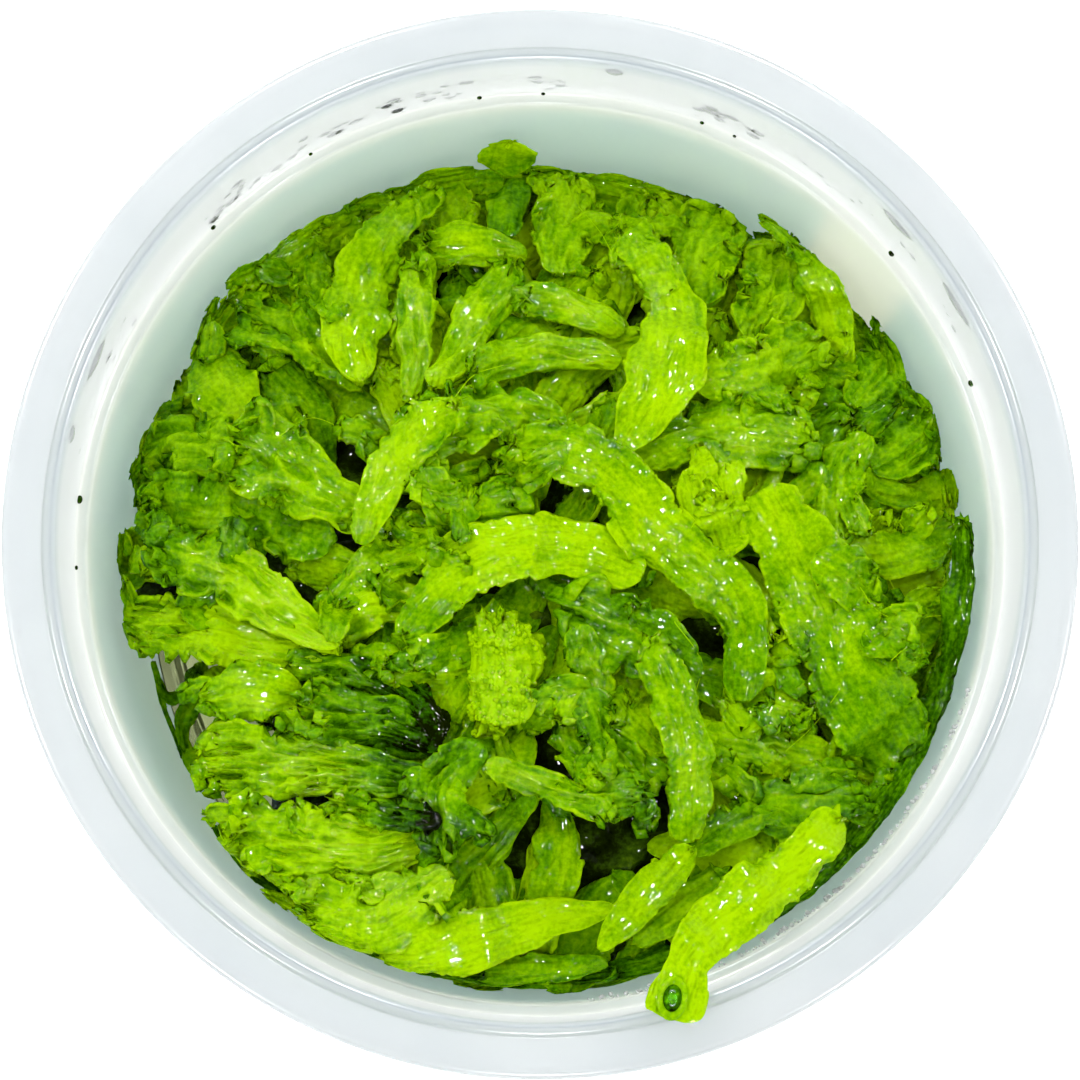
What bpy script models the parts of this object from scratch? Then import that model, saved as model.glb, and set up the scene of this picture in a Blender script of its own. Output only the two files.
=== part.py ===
"""A tissue culture cup of pellia: a turned translucent cup with a label round its wall, a layer
of clear nutrient gel, and a heap of fleshy green fronds on a mat of older growth.

The cup stands on Z = 0 with its axis on Z. Sizes are in metres. Where the numbers are easier to
read in millimetres they are written times MM.
"""

import math

import bmesh
import bpy
import numpy as np
from mathutils import noise

MM = 0.001

# Driving dimensions of the cup.
FLANGE_RADIUS = 50.0 * MM
FLANGE_TOP = 55.2 * MM
FLANGE_THICKNESS = 1.2 * MM
SKIRT_DEPTH = 3.4 * MM
SKIRT_THICKNESS = 1.0 * MM
BEAD_TOP = 56.0 * MM
BEAD_OUTER_RADIUS = 46.1 * MM
COLLAR_RADIUS_TOP = 44.8 * MM
COLLAR_RADIUS_BOTTOM = 44.2 * MM
LEDGE_TOP = 45.0 * MM
WALL_RADIUS_TOP = 43.1 * MM
WALL_RADIUS_BOTTOM = 38.6 * MM
WALL_THICKNESS = 0.9 * MM
FLOOR_TOP = 2.4 * MM
FLOOR_UNDERSIDE = 1.3 * MM
FOOT_WIDTH = 3.0 * MM
BEVEL = 0.5 * MM
TURN_STEPS = 72
# Where the straight outside of the wall starts and ends.
WALL_FOOT = 3 * BEVEL
WALL_HEAD = LEDGE_TOP - 4 * BEVEL

# The label: a thin film on the outside of the wall, whose two ends leave a gap.
LABEL_GAP_START_DEG = 35.0
LABEL_GAP_END_DEG = 50.0
LABEL_BOTTOM = 9.0 * MM
LABEL_TOP = 42.5 * MM
LABEL_STAND_OFF = 0.12 * MM
LABEL_THICKNESS = 0.2 * MM

# Gel, and the mat of older growth that stands on it.
GEL_TOP = 14.0 * MM
MENISCUS = 0.7 * MM
CLEARANCE = 0.3 * MM
MAT_BASE = GEL_TOP + MENISCUS + CLEARANCE
MAT_PEAK = 43.0 * MM
MAT_FALL = 10.0 * MM
MAT_LEAN = 0.17
MAT_LUMP = 1.3 * MM
MAT_LUMP_SPACING = 9.0 * MM
MAT_EDGE = 40.0 * MM
MAT_DIP = 2.0 * MM
MAT_SIDES = 40
MAT_RINGS = 7
WALL_MARGIN = 0.6 * MM
NOTCH_DEG = 208.0
NOTCH_HALF_WIDTH_DEG = 20.0
NOTCH_DEPTH = 11.0 * MM

# Fronds.
FROND_THICKNESS = 1.3 * MM
FROND_STEPS = 7
CELL = 0.4 * MM
DRAPE_TRIES = 4
SMOOTH_TRIES = 5
LAY_TRIES = 120
# How much of a frond's height follows the highest point of each row, to keep it flat across.
FLATNESS = 0.6
# Each lift goes a little past what is needed, so that the laying comes to an end.
LIFT_GAIN = 1.02
# A frond droops at most this much from one of its rows to the next.
DROOP = 1.5 * MM
# The edges stand back at both ends by this share of the spacing of the rows.
ROUNDING = 0.5
# Points of a frond within this distance of the wall are pressed together.
WALL_EASE = 4.0 * MM

# The fronds are laid out as someone looking down into the cup from EYE sees them: the points are
# where the line of sight crosses the plane of the flange, and a lower frond lies further along it.
EYE = np.array([0.0, -48.7, 452.0]) * MM

# Share of the full width at the base, a third along, two thirds along and at the tip.
OUTLINES = {
    "strap": (0.75, 0.95, 1.0, 0.75),
    "blade": (0.32, 0.9, 1.0, 0.45),
    "fan": (0.35, 0.6, 0.9, 1.0),
    "crisp": (0.5, 0.85, 1.0, 0.75),
    "spoon": (0.3, 1.0, 0.6, 0.5),
}
# How far the edges wave up and down, from the middle line.
RUFFLES = {"strap": 0.1 * MM, "blade": 0.3 * MM, "fan": 0.5 * MM, "crisp": 0.6 * MM, "spoon": 0.3 * MM}

# Each frond, lowest first: outline, full width, and its middle line from base to tip. All in mm.
FRONDS = {
    "frond_back_1": ("crisp", 6.0, (-13.0, 26.5), (-16.7, 29.5), (-20.5, 30.2)),
    "frond_back_2": ("crisp", 6.0, (-6.5, 25.5), (-8.4, 29.7), (-10.2, 32.6)),
    "frond_back_3": ("crisp", 6.5, (1.9, 24.6), (2.3, 29.2), (3.2, 33.2)),
    "frond_back_4": ("strap", 4.4, (-3.4, 28.2), (-3.0, 32.6), (-2.6, 36.8)),
    "frond_back_5": ("crisp", 7.0, (14.8, 21.8), (15.3, 27.0), (17.0, 31.0)),
    "frond_back_6": ("crisp", 6.0, (19.4, 18.5), (21.8, 23.5), (22.6, 27.2)),
    "frond_back_7": ("blade", 4.4, (28.4, 17.0), (26.8, 22.2), (24.0, 27.4)),
    "frond_left_1": ("crisp", 6.5, (-19.0, 22.0), (-24.0, 25.0), (-28.4, 23.4)),
    "frond_left_2": ("blade", 9.0, (-24.6, 9.2), (-28.8, 13.2), (-32.6, 18.4)),
    "frond_left_3": ("crisp", 7.0, (-27.0, 8.0), (-32.4, 8.6), (-37.0, 7.4)),
    "frond_left_4": ("crisp", 8.0, (-19.4, -0.4), (-27.8, 1.5), (-36.6, 2.6)),
    "frond_left_5": ("fan", 9.0, (-13.6, 2.8), (-20.4, 5.4), (-27.2, 8.0)),
    "frond_left_6": ("fan", 8.5, (-15.6, -11.4), (-25.9, -9.9), (-38.2, -7.6)),
    "frond_left_7": ("fan", 9.0, (-17.5, -9.9), (-25.6, -4.9), (-35.0, -0.9)),
    "frond_left_8": ("crisp", 5.6, (-16.0, 12.4), (-21.6, 18.4), (-28.6, 21.0)),
    "frond_front_left_1": ("blade", 6.0, (-21.6, -15.6), (-26.4, -14.3), (-31.0, -15.2)),
    "frond_front_left_2": ("strap", 6.0, (-8.8, -18.2), (-15.7, -17.0), (-22.0, -15.6)),
    "frond_front_left_3": ("crisp", 8.5, (-8.6, -23.2), (-18.5, -21.4), (-31.0, -20.6)),
    "frond_front_left_4": ("crisp", 9.0, (-7.8, -27.0), (-16.0, -29.2), (-28.4, -27.8)),
    "frond_front_left_5": ("crisp", 8.0, (-8.4, -31.2), (-15.2, -35.4), (-21.8, -34.4)),
    "frond_right_1": ("crisp", 6.0, (29.4, 12.0), (32.2, 15.6), (33.4, 19.4)),
    "frond_right_2": ("crisp", 6.5, (30.8, 6.4), (35.0, 9.4), (38.2, 12.0)),
    "frond_right_3": ("blade", 5.2, (27.4, -1.9), (33.3, -1.5), (39.2, 0.9)),
    "frond_right_4": ("blade", 6.4, (28.0, -13.8), (32.4, -9.8), (37.6, -5.6)),
    "frond_right_5": ("strap", 4.6, (34.8, -16.8), (38.2, -11.0), (40.6, -4.6)),
    "frond_right_6": ("blade", 7.0, (19.4, -34.2), (26.9, -30.0), (33.6, -24.0)),
    "frond_right_7": ("strap", 5.0, (13.5, -29.0), (21.3, -24.8), (29.5, -24.4)),
    "frond_right_8": ("crisp", 5.4, (30.2, 9.6), (27.6, 5.4), (27.2, -0.4)),
    "frond_right_9": ("crisp", 6.4, (7.6, 7.4), (15.7, 9.9), (25.0, 8.9)),
    "frond_right_10": ("crisp", 6.4, (14.4, 14.6), (20.4, 15.8), (25.6, 18.0)),
    "frond_centre_1": ("strap", 3.6, (-1.2, 26.3), (-6.0, 27.4), (-10.8, 27.2)),
    "frond_centre_2": ("blade", 6.4, (-15.0, 12.4), (-17.6, 19.5), (-14.6, 26.5), (-11.7, 31.6)),
    "frond_centre_3": ("strap", 3.6, (-10.6, 10.2), (-12.4, 18.1), (-12.4, 26.5)),
    "frond_centre_4": ("crisp", 5.2, (-10.6, 10.5), (-6.9, 18.1), (-3.0, 25.7)),
    "frond_centre_5": ("strap", 3.5, (9.3, 18.4), (4.6, 21.6), (-1.6, 22.0)),
    "frond_centre_6": ("strap", 3.6, (7.9, 16.7), (0.9, 17.7), (-7.0, 14.2)),
    "frond_centre_7": ("crisp", 6.4, (2.4, 9.8), (-4.6, 11.7), (-12.6, 9.4)),
    "frond_centre_8": ("strap", 4.6, (-16.8, -1.6), (-14.6, 4.8), (-9.0, 9.4)),
    "frond_centre_9": ("crisp", 5.4, (-10.8, 6.2), (-8.0, 2.4), (-1.6, 2.2)),
    "frond_centre_10": ("crisp", 7.6, (14.6, -13.4), (9.3, -9.8), (2.6, -6.6)),
    "frond_centre_11": ("crisp", 7.0, (-4.6, -19.6), (-3.3, -13.3), (-4.8, -7.6)),
    "frond_front_1": ("blade", 4.2, (6.2, -39.4), (-3.7, -40.8), (-11.6, -41.0)),
    "frond_front_2": ("strap", 4.0, (8.8, -37.6), (13.0, -34.4), (17.0, -31.6)),
    "frond_front_3": ("crisp", 5.0, (-5.4, -19.2), (-9.3, -23.2), (-9.0, -29.2)),
    "frond_front_4": ("crisp", 5.0, (4.4, -14.2), (6.0, -18.9), (9.2, -24.4)),
    "frond_front_5": ("fan", 6.4, (-5.2, -21.2), (1.6, -23.5), (11.0, -24.2)),
    "frond_front_6": ("crisp", 5.2, (13.9, -30.2), (13.8, -22.6), (9.2, -13.2)),
    "frond_centre_12": ("spoon", 10.0, (7.2, 6.8), (11.9, 15.0), (11.9, 22.4), (6.0, 28.8)),
    "frond_centre_13": ("blade", 7.2, (7.4, -2.3), (0.2, 0.1), (-9.0, -3.6), (-13.4, -9.9)),
    "frond_centre_14": ("crisp", 7.4, (19.6, -16.0), (17.4, -6.9), (10.2, 1.3), (-1.6, 8.6)),
    "frond_centre_15": ("crisp", 9.4, (14.0, 6.4), (23.0, 0.2), (28.9, -9.7), (35.0, -21.0)),
}
RIM_FROND = "frond_front_9"
UPPER_FRONDS = {
    "frond_front_7": ("blade", 7.2, (7.0, -35.4), (-3.7, -36.8), (-15.4, -39.8)),
    "frond_front_8": ("strap", 4.2, (5.2, -39.2), (10.2, -33.7), (14.9, -28.4)),
    "frond_front_9": ("strap", 6.0, (12.0, -45.2), (14.0, -38.2), (20.4, -31.9), (27.8, -26.4)),
}


def clear_scene():
    for old in list(bpy.data.objects):
        bpy.data.objects.remove(old, do_unlink=True)


def material(name, colour, roughness):
    made = bpy.data.materials.new(name)
    made.use_nodes = True
    shader = made.node_tree.nodes["Principled BSDF"]
    shader.inputs["Base Color"].default_value = (*colour, 1.0)
    shader.inputs["Roughness"].default_value = roughness
    return made


def add_object(name, mesh, finish, home):
    made = bpy.data.objects.new(name, mesh)
    made.data.materials.append(finish)
    home.objects.link(made)
    return made


def wall_radius(height):
    """Inner radius of the cup's tapering wall at a height."""
    share = (height - FLOOR_TOP) / (LEDGE_TOP - FLOOR_TOP)
    return WALL_RADIUS_BOTTOM + (WALL_RADIUS_TOP - WALL_RADIUS_BOTTOM) * min(max(share, 0.0), 1.0)


def turned(name, profile, finish, home, degrees=360.0, steps=TURN_STEPS, start=0.0):
    """A profile of (radius, height) points turned about Z. It runs down its outer side."""
    mesh = bpy.data.meshes.new(name)
    edges = [(i, i + 1) for i in range(len(profile) - 1)]
    angle = math.radians(start)
    points = [(r * math.cos(angle), r * math.sin(angle), z) for r, z in profile]
    mesh.from_pydata(points, edges, [])
    made = add_object(name, mesh, finish, home)
    screw = made.modifiers.new("turn", "SCREW")
    screw.axis = "Z"
    screw.angle = math.radians(degrees)
    screw.steps = steps
    screw.render_steps = steps
    screw.use_merge_vertices = True
    screw.merge_threshold = 0.00005
    screw.use_smooth_shade = False
    return made


def make_cup(finish, home):
    """The cup from the middle of its floor, up the inside, over the rim and down the outside."""
    outer_top = WALL_RADIUS_TOP + WALL_THICKNESS
    outer_bottom = WALL_RADIUS_BOTTOM + WALL_THICKNESS
    collar_outer = COLLAR_RADIUS_TOP + WALL_THICKNESS
    under_flange = FLANGE_TOP - FLANGE_THICKNESS
    skirt_foot = FLANGE_TOP - SKIRT_DEPTH
    skirt_inner = FLANGE_RADIUS - SKIRT_THICKNESS
    foot_inner = outer_bottom - BEVEL - FOOT_WIDTH
    profile = [
        (0.0, FLOOR_TOP),
        (WALL_RADIUS_BOTTOM - 2 * BEVEL, FLOOR_TOP),
        (WALL_RADIUS_BOTTOM, FLOOR_TOP + 2 * BEVEL),
        (WALL_RADIUS_TOP, LEDGE_TOP - BEVEL),
        (WALL_RADIUS_TOP + BEVEL / 2, LEDGE_TOP),
        (COLLAR_RADIUS_BOTTOM, LEDGE_TOP + BEVEL),
        (COLLAR_RADIUS_TOP, FLANGE_TOP - BEVEL),
        (COLLAR_RADIUS_TOP + BEVEL, BEAD_TOP),
        (BEAD_OUTER_RADIUS - BEVEL, BEAD_TOP),
        (BEAD_OUTER_RADIUS, FLANGE_TOP),
        (FLANGE_RADIUS - BEVEL, FLANGE_TOP),
        (FLANGE_RADIUS, FLANGE_TOP - BEVEL),
        (FLANGE_RADIUS, skirt_foot),
        (skirt_inner, skirt_foot),
        (skirt_inner, under_flange),
        (collar_outer, under_flange),
        (COLLAR_RADIUS_BOTTOM + WALL_THICKNESS, WALL_HEAD + BEVEL),
        (outer_top, WALL_HEAD),
        (outer_bottom, WALL_FOOT),
        (outer_bottom - BEVEL, 0.0),
        (foot_inner, 0.0),
        (foot_inner - BEVEL, FLOOR_UNDERSIDE),
        (0.0, FLOOR_UNDERSIDE),
    ]
    return turned("cup", profile, finish, home)


def make_label(finish, home):
    """A film bent round the wall. Its edges line up with the steps of the turned cup."""
    degrees = 360.0 - (LABEL_GAP_END_DEG - LABEL_GAP_START_DEG)
    steps = round(degrees * TURN_STEPS / 360.0)
    slope = (WALL_RADIUS_TOP - WALL_RADIUS_BOTTOM) / (WALL_HEAD - WALL_FOOT)
    base = WALL_RADIUS_BOTTOM + WALL_THICKNESS + LABEL_STAND_OFF
    lower = (base + slope * (LABEL_BOTTOM - WALL_FOOT), LABEL_BOTTOM)
    upper = (base + slope * (LABEL_TOP - WALL_FOOT), LABEL_TOP)
    made = turned("label", [upper, lower], finish, home, degrees, steps, LABEL_GAP_END_DEG)
    skin = made.modifiers.new("film", "SOLIDIFY")
    skin.thickness = LABEL_THICKNESS
    skin.offset = 1.0
    return made


def make_gel(finish, home):
    """Set gel that fills the foot of the cup and creeps a little up the wall."""
    foot = FLOOR_TOP + CLEARANCE
    profile = [
        (0.0, GEL_TOP),
        (wall_radius(GEL_TOP) - 3.0 * MM, GEL_TOP),
        (wall_radius(GEL_TOP) - CLEARANCE, GEL_TOP + MENISCUS),
        (wall_radius(foot) - 1.2 * MM, foot),
        (0.0, foot),
    ]
    return turned("gel", profile, finish, home)


def mat_height(x, y):
    """Height of the mat's lumpy top: a dome that stands higher towards the front."""
    fall = (x * x + y * y) / WALL_RADIUS_TOP**2
    lump = noise.noise((x / MAT_LUMP_SPACING, y / MAT_LUMP_SPACING, 0.5))
    return MAT_PEAK - MAT_FALL * fall - MAT_LEAN * y + MAT_LUMP * lump


def notch(angle):
    """How far the mat's edge draws back at an angle, where the gel shows between mat and wall."""
    away = (math.degrees(angle) - NOTCH_DEG + 180.0) % 360.0 - 180.0
    share = max(0.0, 1.0 - (away / NOTCH_HALF_WIDTH_DEG) ** 2)
    return NOTCH_DEPTH * share


def make_mat(finish, home):
    """The older, tangled growth as one lumpy heap. A sphere's rings become its top, side and base."""
    form = bmesh.new()
    bmesh.ops.create_uvsphere(form, u_segments=MAT_SIDES, v_segments=2 * MAT_RINGS, radius=1.0)
    for vertex in form.verts:
        x, y, z = vertex.co
        angle = math.atan2(y, x)
        ring = round(math.acos(max(-1.0, min(1.0, z))) / math.pi * 2 * MAT_RINGS)
        if ring > MAT_RINGS:
            base = wall_radius(MAT_BASE) - WALL_MARGIN - notch(angle)
            reach = base * (2 * MAT_RINGS - ring) / (MAT_RINGS - 1)
            vertex.co = (reach * math.cos(angle), reach * math.sin(angle), MAT_BASE)
            continue
        edge_height = mat_height(MAT_EDGE * math.cos(angle), MAT_EDGE * math.sin(angle)) - MAT_DIP
        edge = wall_radius(edge_height) - WALL_MARGIN - notch(angle)
        reach = edge * ring / MAT_RINGS
        place = (reach * math.cos(angle), reach * math.sin(angle))
        height = edge_height if ring == MAT_RINGS else mat_height(*place)
        vertex.co = (*place, height)
    mesh = bpy.data.meshes.new("mat")
    form.to_mesh(mesh)
    form.free()
    return add_object("mat", mesh, finish, home)


def smooth_line(points, count):
    """Points spaced evenly along a smooth curve through a few given ones."""
    given = np.array(points, float)
    padded = np.vstack([2 * given[0] - given[1], given, 2 * given[-1] - given[-2]])
    curve = []
    for i in range(1, len(padded) - 2):
        before, start, end, after = padded[i - 1 : i + 3]
        for t in np.linspace(0, 1, 20, endpoint=False):
            bend = (2 * before - 5 * start + 4 * end - after) * t**2
            twist = (3 * start - before - 3 * end + after) * t**3
            curve.append(0.5 * (2 * start + (end - before) * t + bend + twist))
    curve = np.array([*curve, given[-1]])
    along = np.concatenate([[0], np.cumsum(np.linalg.norm(np.diff(curve, axis=0), axis=1))])
    at = np.linspace(0, along[-1], count)
    return np.stack([np.interp(at, along, curve[:, k]) for k in range(2)], axis=1)


class Heap:
    """The height of everything laid so far, on a grid of small cells."""

    def __init__(self):
        self.reach = FLANGE_RADIUS + 2 * MM
        self.size = int(2 * self.reach / CELL) + 1
        self.top = np.full((self.size, self.size), MAT_BASE)

    def cells(self, points):
        index = ((points[:, :2] + self.reach) / CELL).astype(int)
        return np.clip(index, 1, self.size - 2)

    def lay(self, points):
        at = self.cells(points)
        np.maximum.at(self.top, (at[:, 0], at[:, 1]), points[:, 2])

    def under(self, points):
        """The highest thing in the cell of each point and in the eight cells round it."""
        at = self.cells(points)
        near = [self.top[at[:, 0] + i, at[:, 1] + j] for i in (-1, 0, 1) for j in (-1, 0, 1)]
        return np.max(near, axis=0)


def shares():
    """Barycentric shares of closely spaced points on a triangle."""
    steps = np.linspace(0, 1, 22)
    return np.array([(a, b, 1 - a - b) for a in steps for b in steps if a + b <= 1.0001])


SHARES = shares()


def spread_on(corners):
    """Closely spaced points on triangles, given as an array of three corners each."""
    return np.einsum("sk,tkc->tsc", SHARES, corners)


def lay_mat(heap, mat):
    mesh = mat.data
    mesh.calc_loop_triangles()
    points = np.array([v.co for v in mesh.vertices])
    corners = points[np.array([t.vertices for t in mesh.loop_triangles])]
    heap.lay(spread_on(corners).reshape(-1, 3))


def grid_triangles(columns):
    """Corner indices of each cell of a frond's grid, cut along both of its diagonals."""
    found = []
    for i in range(FROND_STEPS):
        for j in range(columns - 1):
            a, b = i * columns + j, i * columns + j + 1
            c, d = a + columns, b + columns
            found += [(a, b, d), (a, d, c), (a, b, c), (b, d, c)]
    return np.array(found)


def seen_at(seen, height):
    """The place, at a height, of a point that the eye sees against the plane of the flange."""
    share = (EYE[2] - height) / (EYE[2] - FLANGE_TOP)
    return EYE[:2] + (seen - EYE[:2]) * share[..., None]


def keep_in_cup(places, height):
    """Presses together, in their order, the points that would otherwise pass through the wall."""
    for k in np.ndindex(height.shape):
        limit = wall_radius(height[k] - FROND_THICKNESS) - WALL_MARGIN
        reach = math.hypot(*places[k])
        past = (reach - limit) / WALL_EASE + 1
        if past > 0:
            places[k] *= (limit - WALL_EASE * math.exp(-past)) / reach
    return places


def rim_height(points):
    """Height of the rim under points, for the frond that hangs over it."""
    reach = np.hypot(points[:, 0], points[:, 1])
    return np.where(reach > WALL_RADIUS_TOP - 1.2 * MM, BEAD_TOP, 0.0)


def frond_points(outline, width, line, heap, over_rim=False):
    """The top of a frond, as rows of left, middle and right points, draped on what lies below."""
    middle = smooth_line(line, FROND_STEPS + 1) * MM
    along = np.gradient(middle, axis=0)
    along /= np.linalg.norm(along, axis=1)[:, None]
    across = np.stack([-along[:, 1], along[:, 0]], axis=1)
    share = np.linspace(0, 1, FROND_STEPS + 1)
    half = np.interp(share, (0, 1 / 3, 2 / 3, 1), OUTLINES[outline]) * width * MM / 2
    seen = np.stack([middle + across * half[:, None], middle, middle - across * half[:, None]], axis=1)
    # The edges end a little short of the middle line, so that both ends are rounded.
    spacing = math.dist(middle[0], middle[1])
    seen[0, ::2] += along[0] * spacing * ROUNDING
    seen[-1, ::2] -= along[-1] * spacing * ROUNDING
    wave = RUFFLES[outline] * np.where(np.arange(FROND_STEPS + 1) % 2, 1.0, -1.0)
    lift = np.stack([wave, np.zeros(FROND_STEPS + 1), -wave], axis=1)

    corners = grid_triangles(3)
    height = np.full(seen.shape[:2], MAT_PEAK)
    for _ in range(DRAPE_TRIES):
        places = seen_at(seen, height)
        places = places if over_rim else keep_in_cup(places, height)
        flat = places.reshape(-1, 2)
        below = heap.under(flat)
        below = np.maximum(below, rim_height(flat)) if over_rim else below
        height = below.reshape(height.shape) + CLEARANCE + FROND_THICKNESS
    for _ in range(SMOOTH_TRIES):
        mean = (np.roll(height, 1, axis=0) + np.roll(height, -1, axis=0)) / 2
        height[1:-1] = np.maximum(height[1:-1], mean[1:-1])
    height = height.max(axis=1, keepdims=True) * FLATNESS + height * (1 - FLATNESS)
    for row in range(1, FROND_STEPS + 1):
        height[row] = np.maximum(height[row], height[row - 1] - DROOP)
    height = height + lift
    for _ in range(LAY_TRIES):
        places = seen_at(seen, height)
        places = places if over_rim else keep_in_cup(places, height)
        top = np.concatenate([places, height[..., None]], axis=2).reshape(-1, 3)
        spots = spread_on(top[corners])
        flat = spots.reshape(-1, 3)
        below = heap.under(flat)
        below = np.maximum(below, rim_height(flat)) if over_rim else below
        short = (below + CLEARANCE + FROND_THICKNESS - flat[:, 2]).reshape(spots.shape[:2])
        if short.max() <= 0:
            break
        # Each point that is too low lifts its triangle's corners by its share of each.
        push = np.maximum(short, 0)[..., None] * (SHARES / (SHARES**2).sum(axis=1)[:, None])
        raised = np.zeros(len(top))
        np.maximum.at(raised, corners.reshape(-1), push.max(axis=1).reshape(-1))
        height = height + raised.reshape(height.shape) * LIFT_GAIN
    heap.lay(spots.reshape(-1, 3))
    return top.reshape(FROND_STEPS + 1, 3, 3)


def make_frond(name, points, finish, home):
    """A grid moved onto the frond's points, and given its thickness by pulling a copy down."""
    form = bmesh.new()
    bmesh.ops.create_grid(form, x_segments=FROND_STEPS, y_segments=2, size=1.0)
    for vertex in form.verts:
        i = round((vertex.co.x + 1) / 2 * FROND_STEPS)
        j = round(vertex.co.y + 1)
        vertex.co = points[i, j]
    pulled = bmesh.ops.extrude_face_region(form, geom=form.faces[:], use_keep_orig=True)
    underside = [part for part in pulled["geom"] if isinstance(part, bmesh.types.BMVert)]
    bmesh.ops.translate(form, vec=(0, 0, -FROND_THICKNESS), verts=underside)
    bmesh.ops.triangulate(form, faces=form.faces[:], quad_method="FIXED")
    bmesh.ops.recalc_face_normals(form, faces=form.faces[:])
    if form.calc_volume(signed=True) < 0:
        bmesh.ops.reverse_faces(form, faces=form.faces[:])
    mesh = bpy.data.meshes.new(name)
    form.to_mesh(mesh)
    form.free()
    return add_object(name, mesh, finish, home)


def main():
    clear_scene()
    home = bpy.data.collections.new("pellia_culture_cup")
    bpy.context.scene.collection.children.link(home)
    plastic = material("polypropylene", (0.92, 0.95, 0.95), 0.25)
    film = material("label_film", (0.55, 0.68, 0.70), 0.45)
    gel = material("gel", (0.86, 0.92, 0.72), 0.1)
    old_growth = material("old_growth", (0.08, 0.22, 0.02), 0.35)
    thallus = material("thallus", (0.28, 0.55, 0.02), 0.25)
    make_cup(plastic, home)
    make_label(film, home)
    make_gel(gel, home)
    mat = make_mat(old_growth, home)
    heap = Heap()
    lay_mat(heap, mat)
    for name, (outline, width, *line) in {**FRONDS, **UPPER_FRONDS}.items():
        points = frond_points(outline, width, line, heap, over_rim=name == RIM_FROND)
        make_frond(name, points, thallus, home)


main()
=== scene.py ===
# %% [markdown]
# # A tissue culture cup of pellia
# Pellia is a liverwort. It has no stems or leaves, only a flat, fleshy, wet green body called a
# thallus, which forks as it grows and goes frilly at its edges. Growers raise it in a lidded plastic
# cup on a layer of clear nutrient gel, and sell it in that cup.
#
# The solid model, loaded here as a fixed frame, has the cup, its label, the gel, the heap of older
# growth and the larger fronds at their real size. This file gives each of them its finished surface.

# %% The frame
import math
import random

import bmesh
import bpy
import numpy as np
from mathutils import Matrix, Vector
from mathutils.bvhtree import BVHTree


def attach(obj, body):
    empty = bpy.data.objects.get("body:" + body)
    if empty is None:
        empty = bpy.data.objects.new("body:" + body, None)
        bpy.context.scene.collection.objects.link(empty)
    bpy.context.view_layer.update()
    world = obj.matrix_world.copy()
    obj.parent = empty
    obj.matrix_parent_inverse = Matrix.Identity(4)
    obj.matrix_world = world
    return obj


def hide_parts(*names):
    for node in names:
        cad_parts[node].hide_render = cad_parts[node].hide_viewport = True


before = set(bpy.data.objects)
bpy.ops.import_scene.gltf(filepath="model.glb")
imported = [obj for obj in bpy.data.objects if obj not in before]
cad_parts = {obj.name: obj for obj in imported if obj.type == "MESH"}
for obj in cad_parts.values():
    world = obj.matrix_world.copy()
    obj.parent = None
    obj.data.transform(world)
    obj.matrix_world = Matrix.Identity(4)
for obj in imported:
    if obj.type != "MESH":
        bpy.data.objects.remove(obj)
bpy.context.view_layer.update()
MM = 0.001

# %% [markdown]
# ## Where the picture is taken from
# The photograph looks almost straight down. The far wall shows a little more than the near one, so
# the eye stands a little in front. A long lens about 40 cm away keeps the rings nearly concentric.

# %% Camera
EYE = np.array([0.0, -48.7, 452.0]) * MM
AIM = np.array([0.0, -0.4, 55.2]) * MM
FLANGE_TOP = 55.2 * MM
SEEN_WIDTH = 100.0 * MM
SENSOR_WIDTH = 36.0

camera = bpy.data.objects.new("camera", bpy.data.cameras.new("camera"))
bpy.context.scene.collection.objects.link(camera)
line_of_sight = Vector(AIM - EYE)
camera.location = EYE
camera.rotation_euler = line_of_sight.to_track_quat("-Z", "Y").to_euler()
camera.data.sensor_width = SENSOR_WIDTH
camera.data.lens = SENSOR_WIDTH * line_of_sight.length / SEEN_WIDTH
camera.data.clip_start = 10.0 * MM
bpy.context.scene.camera = camera
print("lens in mm:", round(camera.data.lens, 1))

# %% [markdown]
# ## Helpers for materials
# Colours are written as the sRGB hex codes a picture editor shows, and a shader wants linear values,
# so one function turns them. Another adds a node with its settings and its links in one call.

# %% Material helpers
def linear(code):
    """Linear RGBA from an sRGB code such as "#7FBF00"."""
    parts = [int(code[i : i + 2], 16) / 255 for i in (1, 3, 5)]
    return (*[p / 12.92 if p <= 0.04045 else ((p + 0.055) / 1.055) ** 2.4 for p in parts], 1.0)


def put(tree, kind, inputs=None, **settings):
    """Adds a node. An input is a value, or the output that is linked to it."""
    made = tree.nodes.new("ShaderNode" + kind)
    for name, value in settings.items():
        setattr(made, name, value)
    for socket, value in (inputs or {}).items():
        if isinstance(value, bpy.types.NodeSocket):
            tree.links.new(value, made.inputs[socket])
        else:
            made.inputs[socket].default_value = value
    return made


def new_material(name):
    """An empty material, its node tree, and where each point lies on the piece, in metres."""
    made = bpy.data.materials.new(name)
    made.use_nodes = True
    made.node_tree.nodes.clear()
    return made, made.node_tree, put(made.node_tree, "TexCoord").outputs["Object"]


def set_stops(ramp, stops):
    """Gives a colour ramp its stops: pairs of a position and an sRGB code."""
    elements = ramp.color_ramp.elements
    while len(elements) < len(stops):
        elements.new(1.0)
    for element, (position, code) in zip(elements, stops):
        element.position = position
        element.color = linear(code)


print("mid grey in linear values:", round(linear("#808080")[0], 3))

# %% [markdown]
# ## Helpers for meshes
# A bmesh is a mesh that is being worked on. When it is done it is written to a mesh, and an object
# shows that mesh. Every object stays at the origin, and its place is in its mesh.

# %% Mesh helpers
def as_mesh(name, form):
    """A bmesh as a mesh, shaded smooth."""
    mesh = bpy.data.meshes.new(name)
    form.to_mesh(mesh)
    form.free()
    mesh.shade_smooth()
    return mesh


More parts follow.
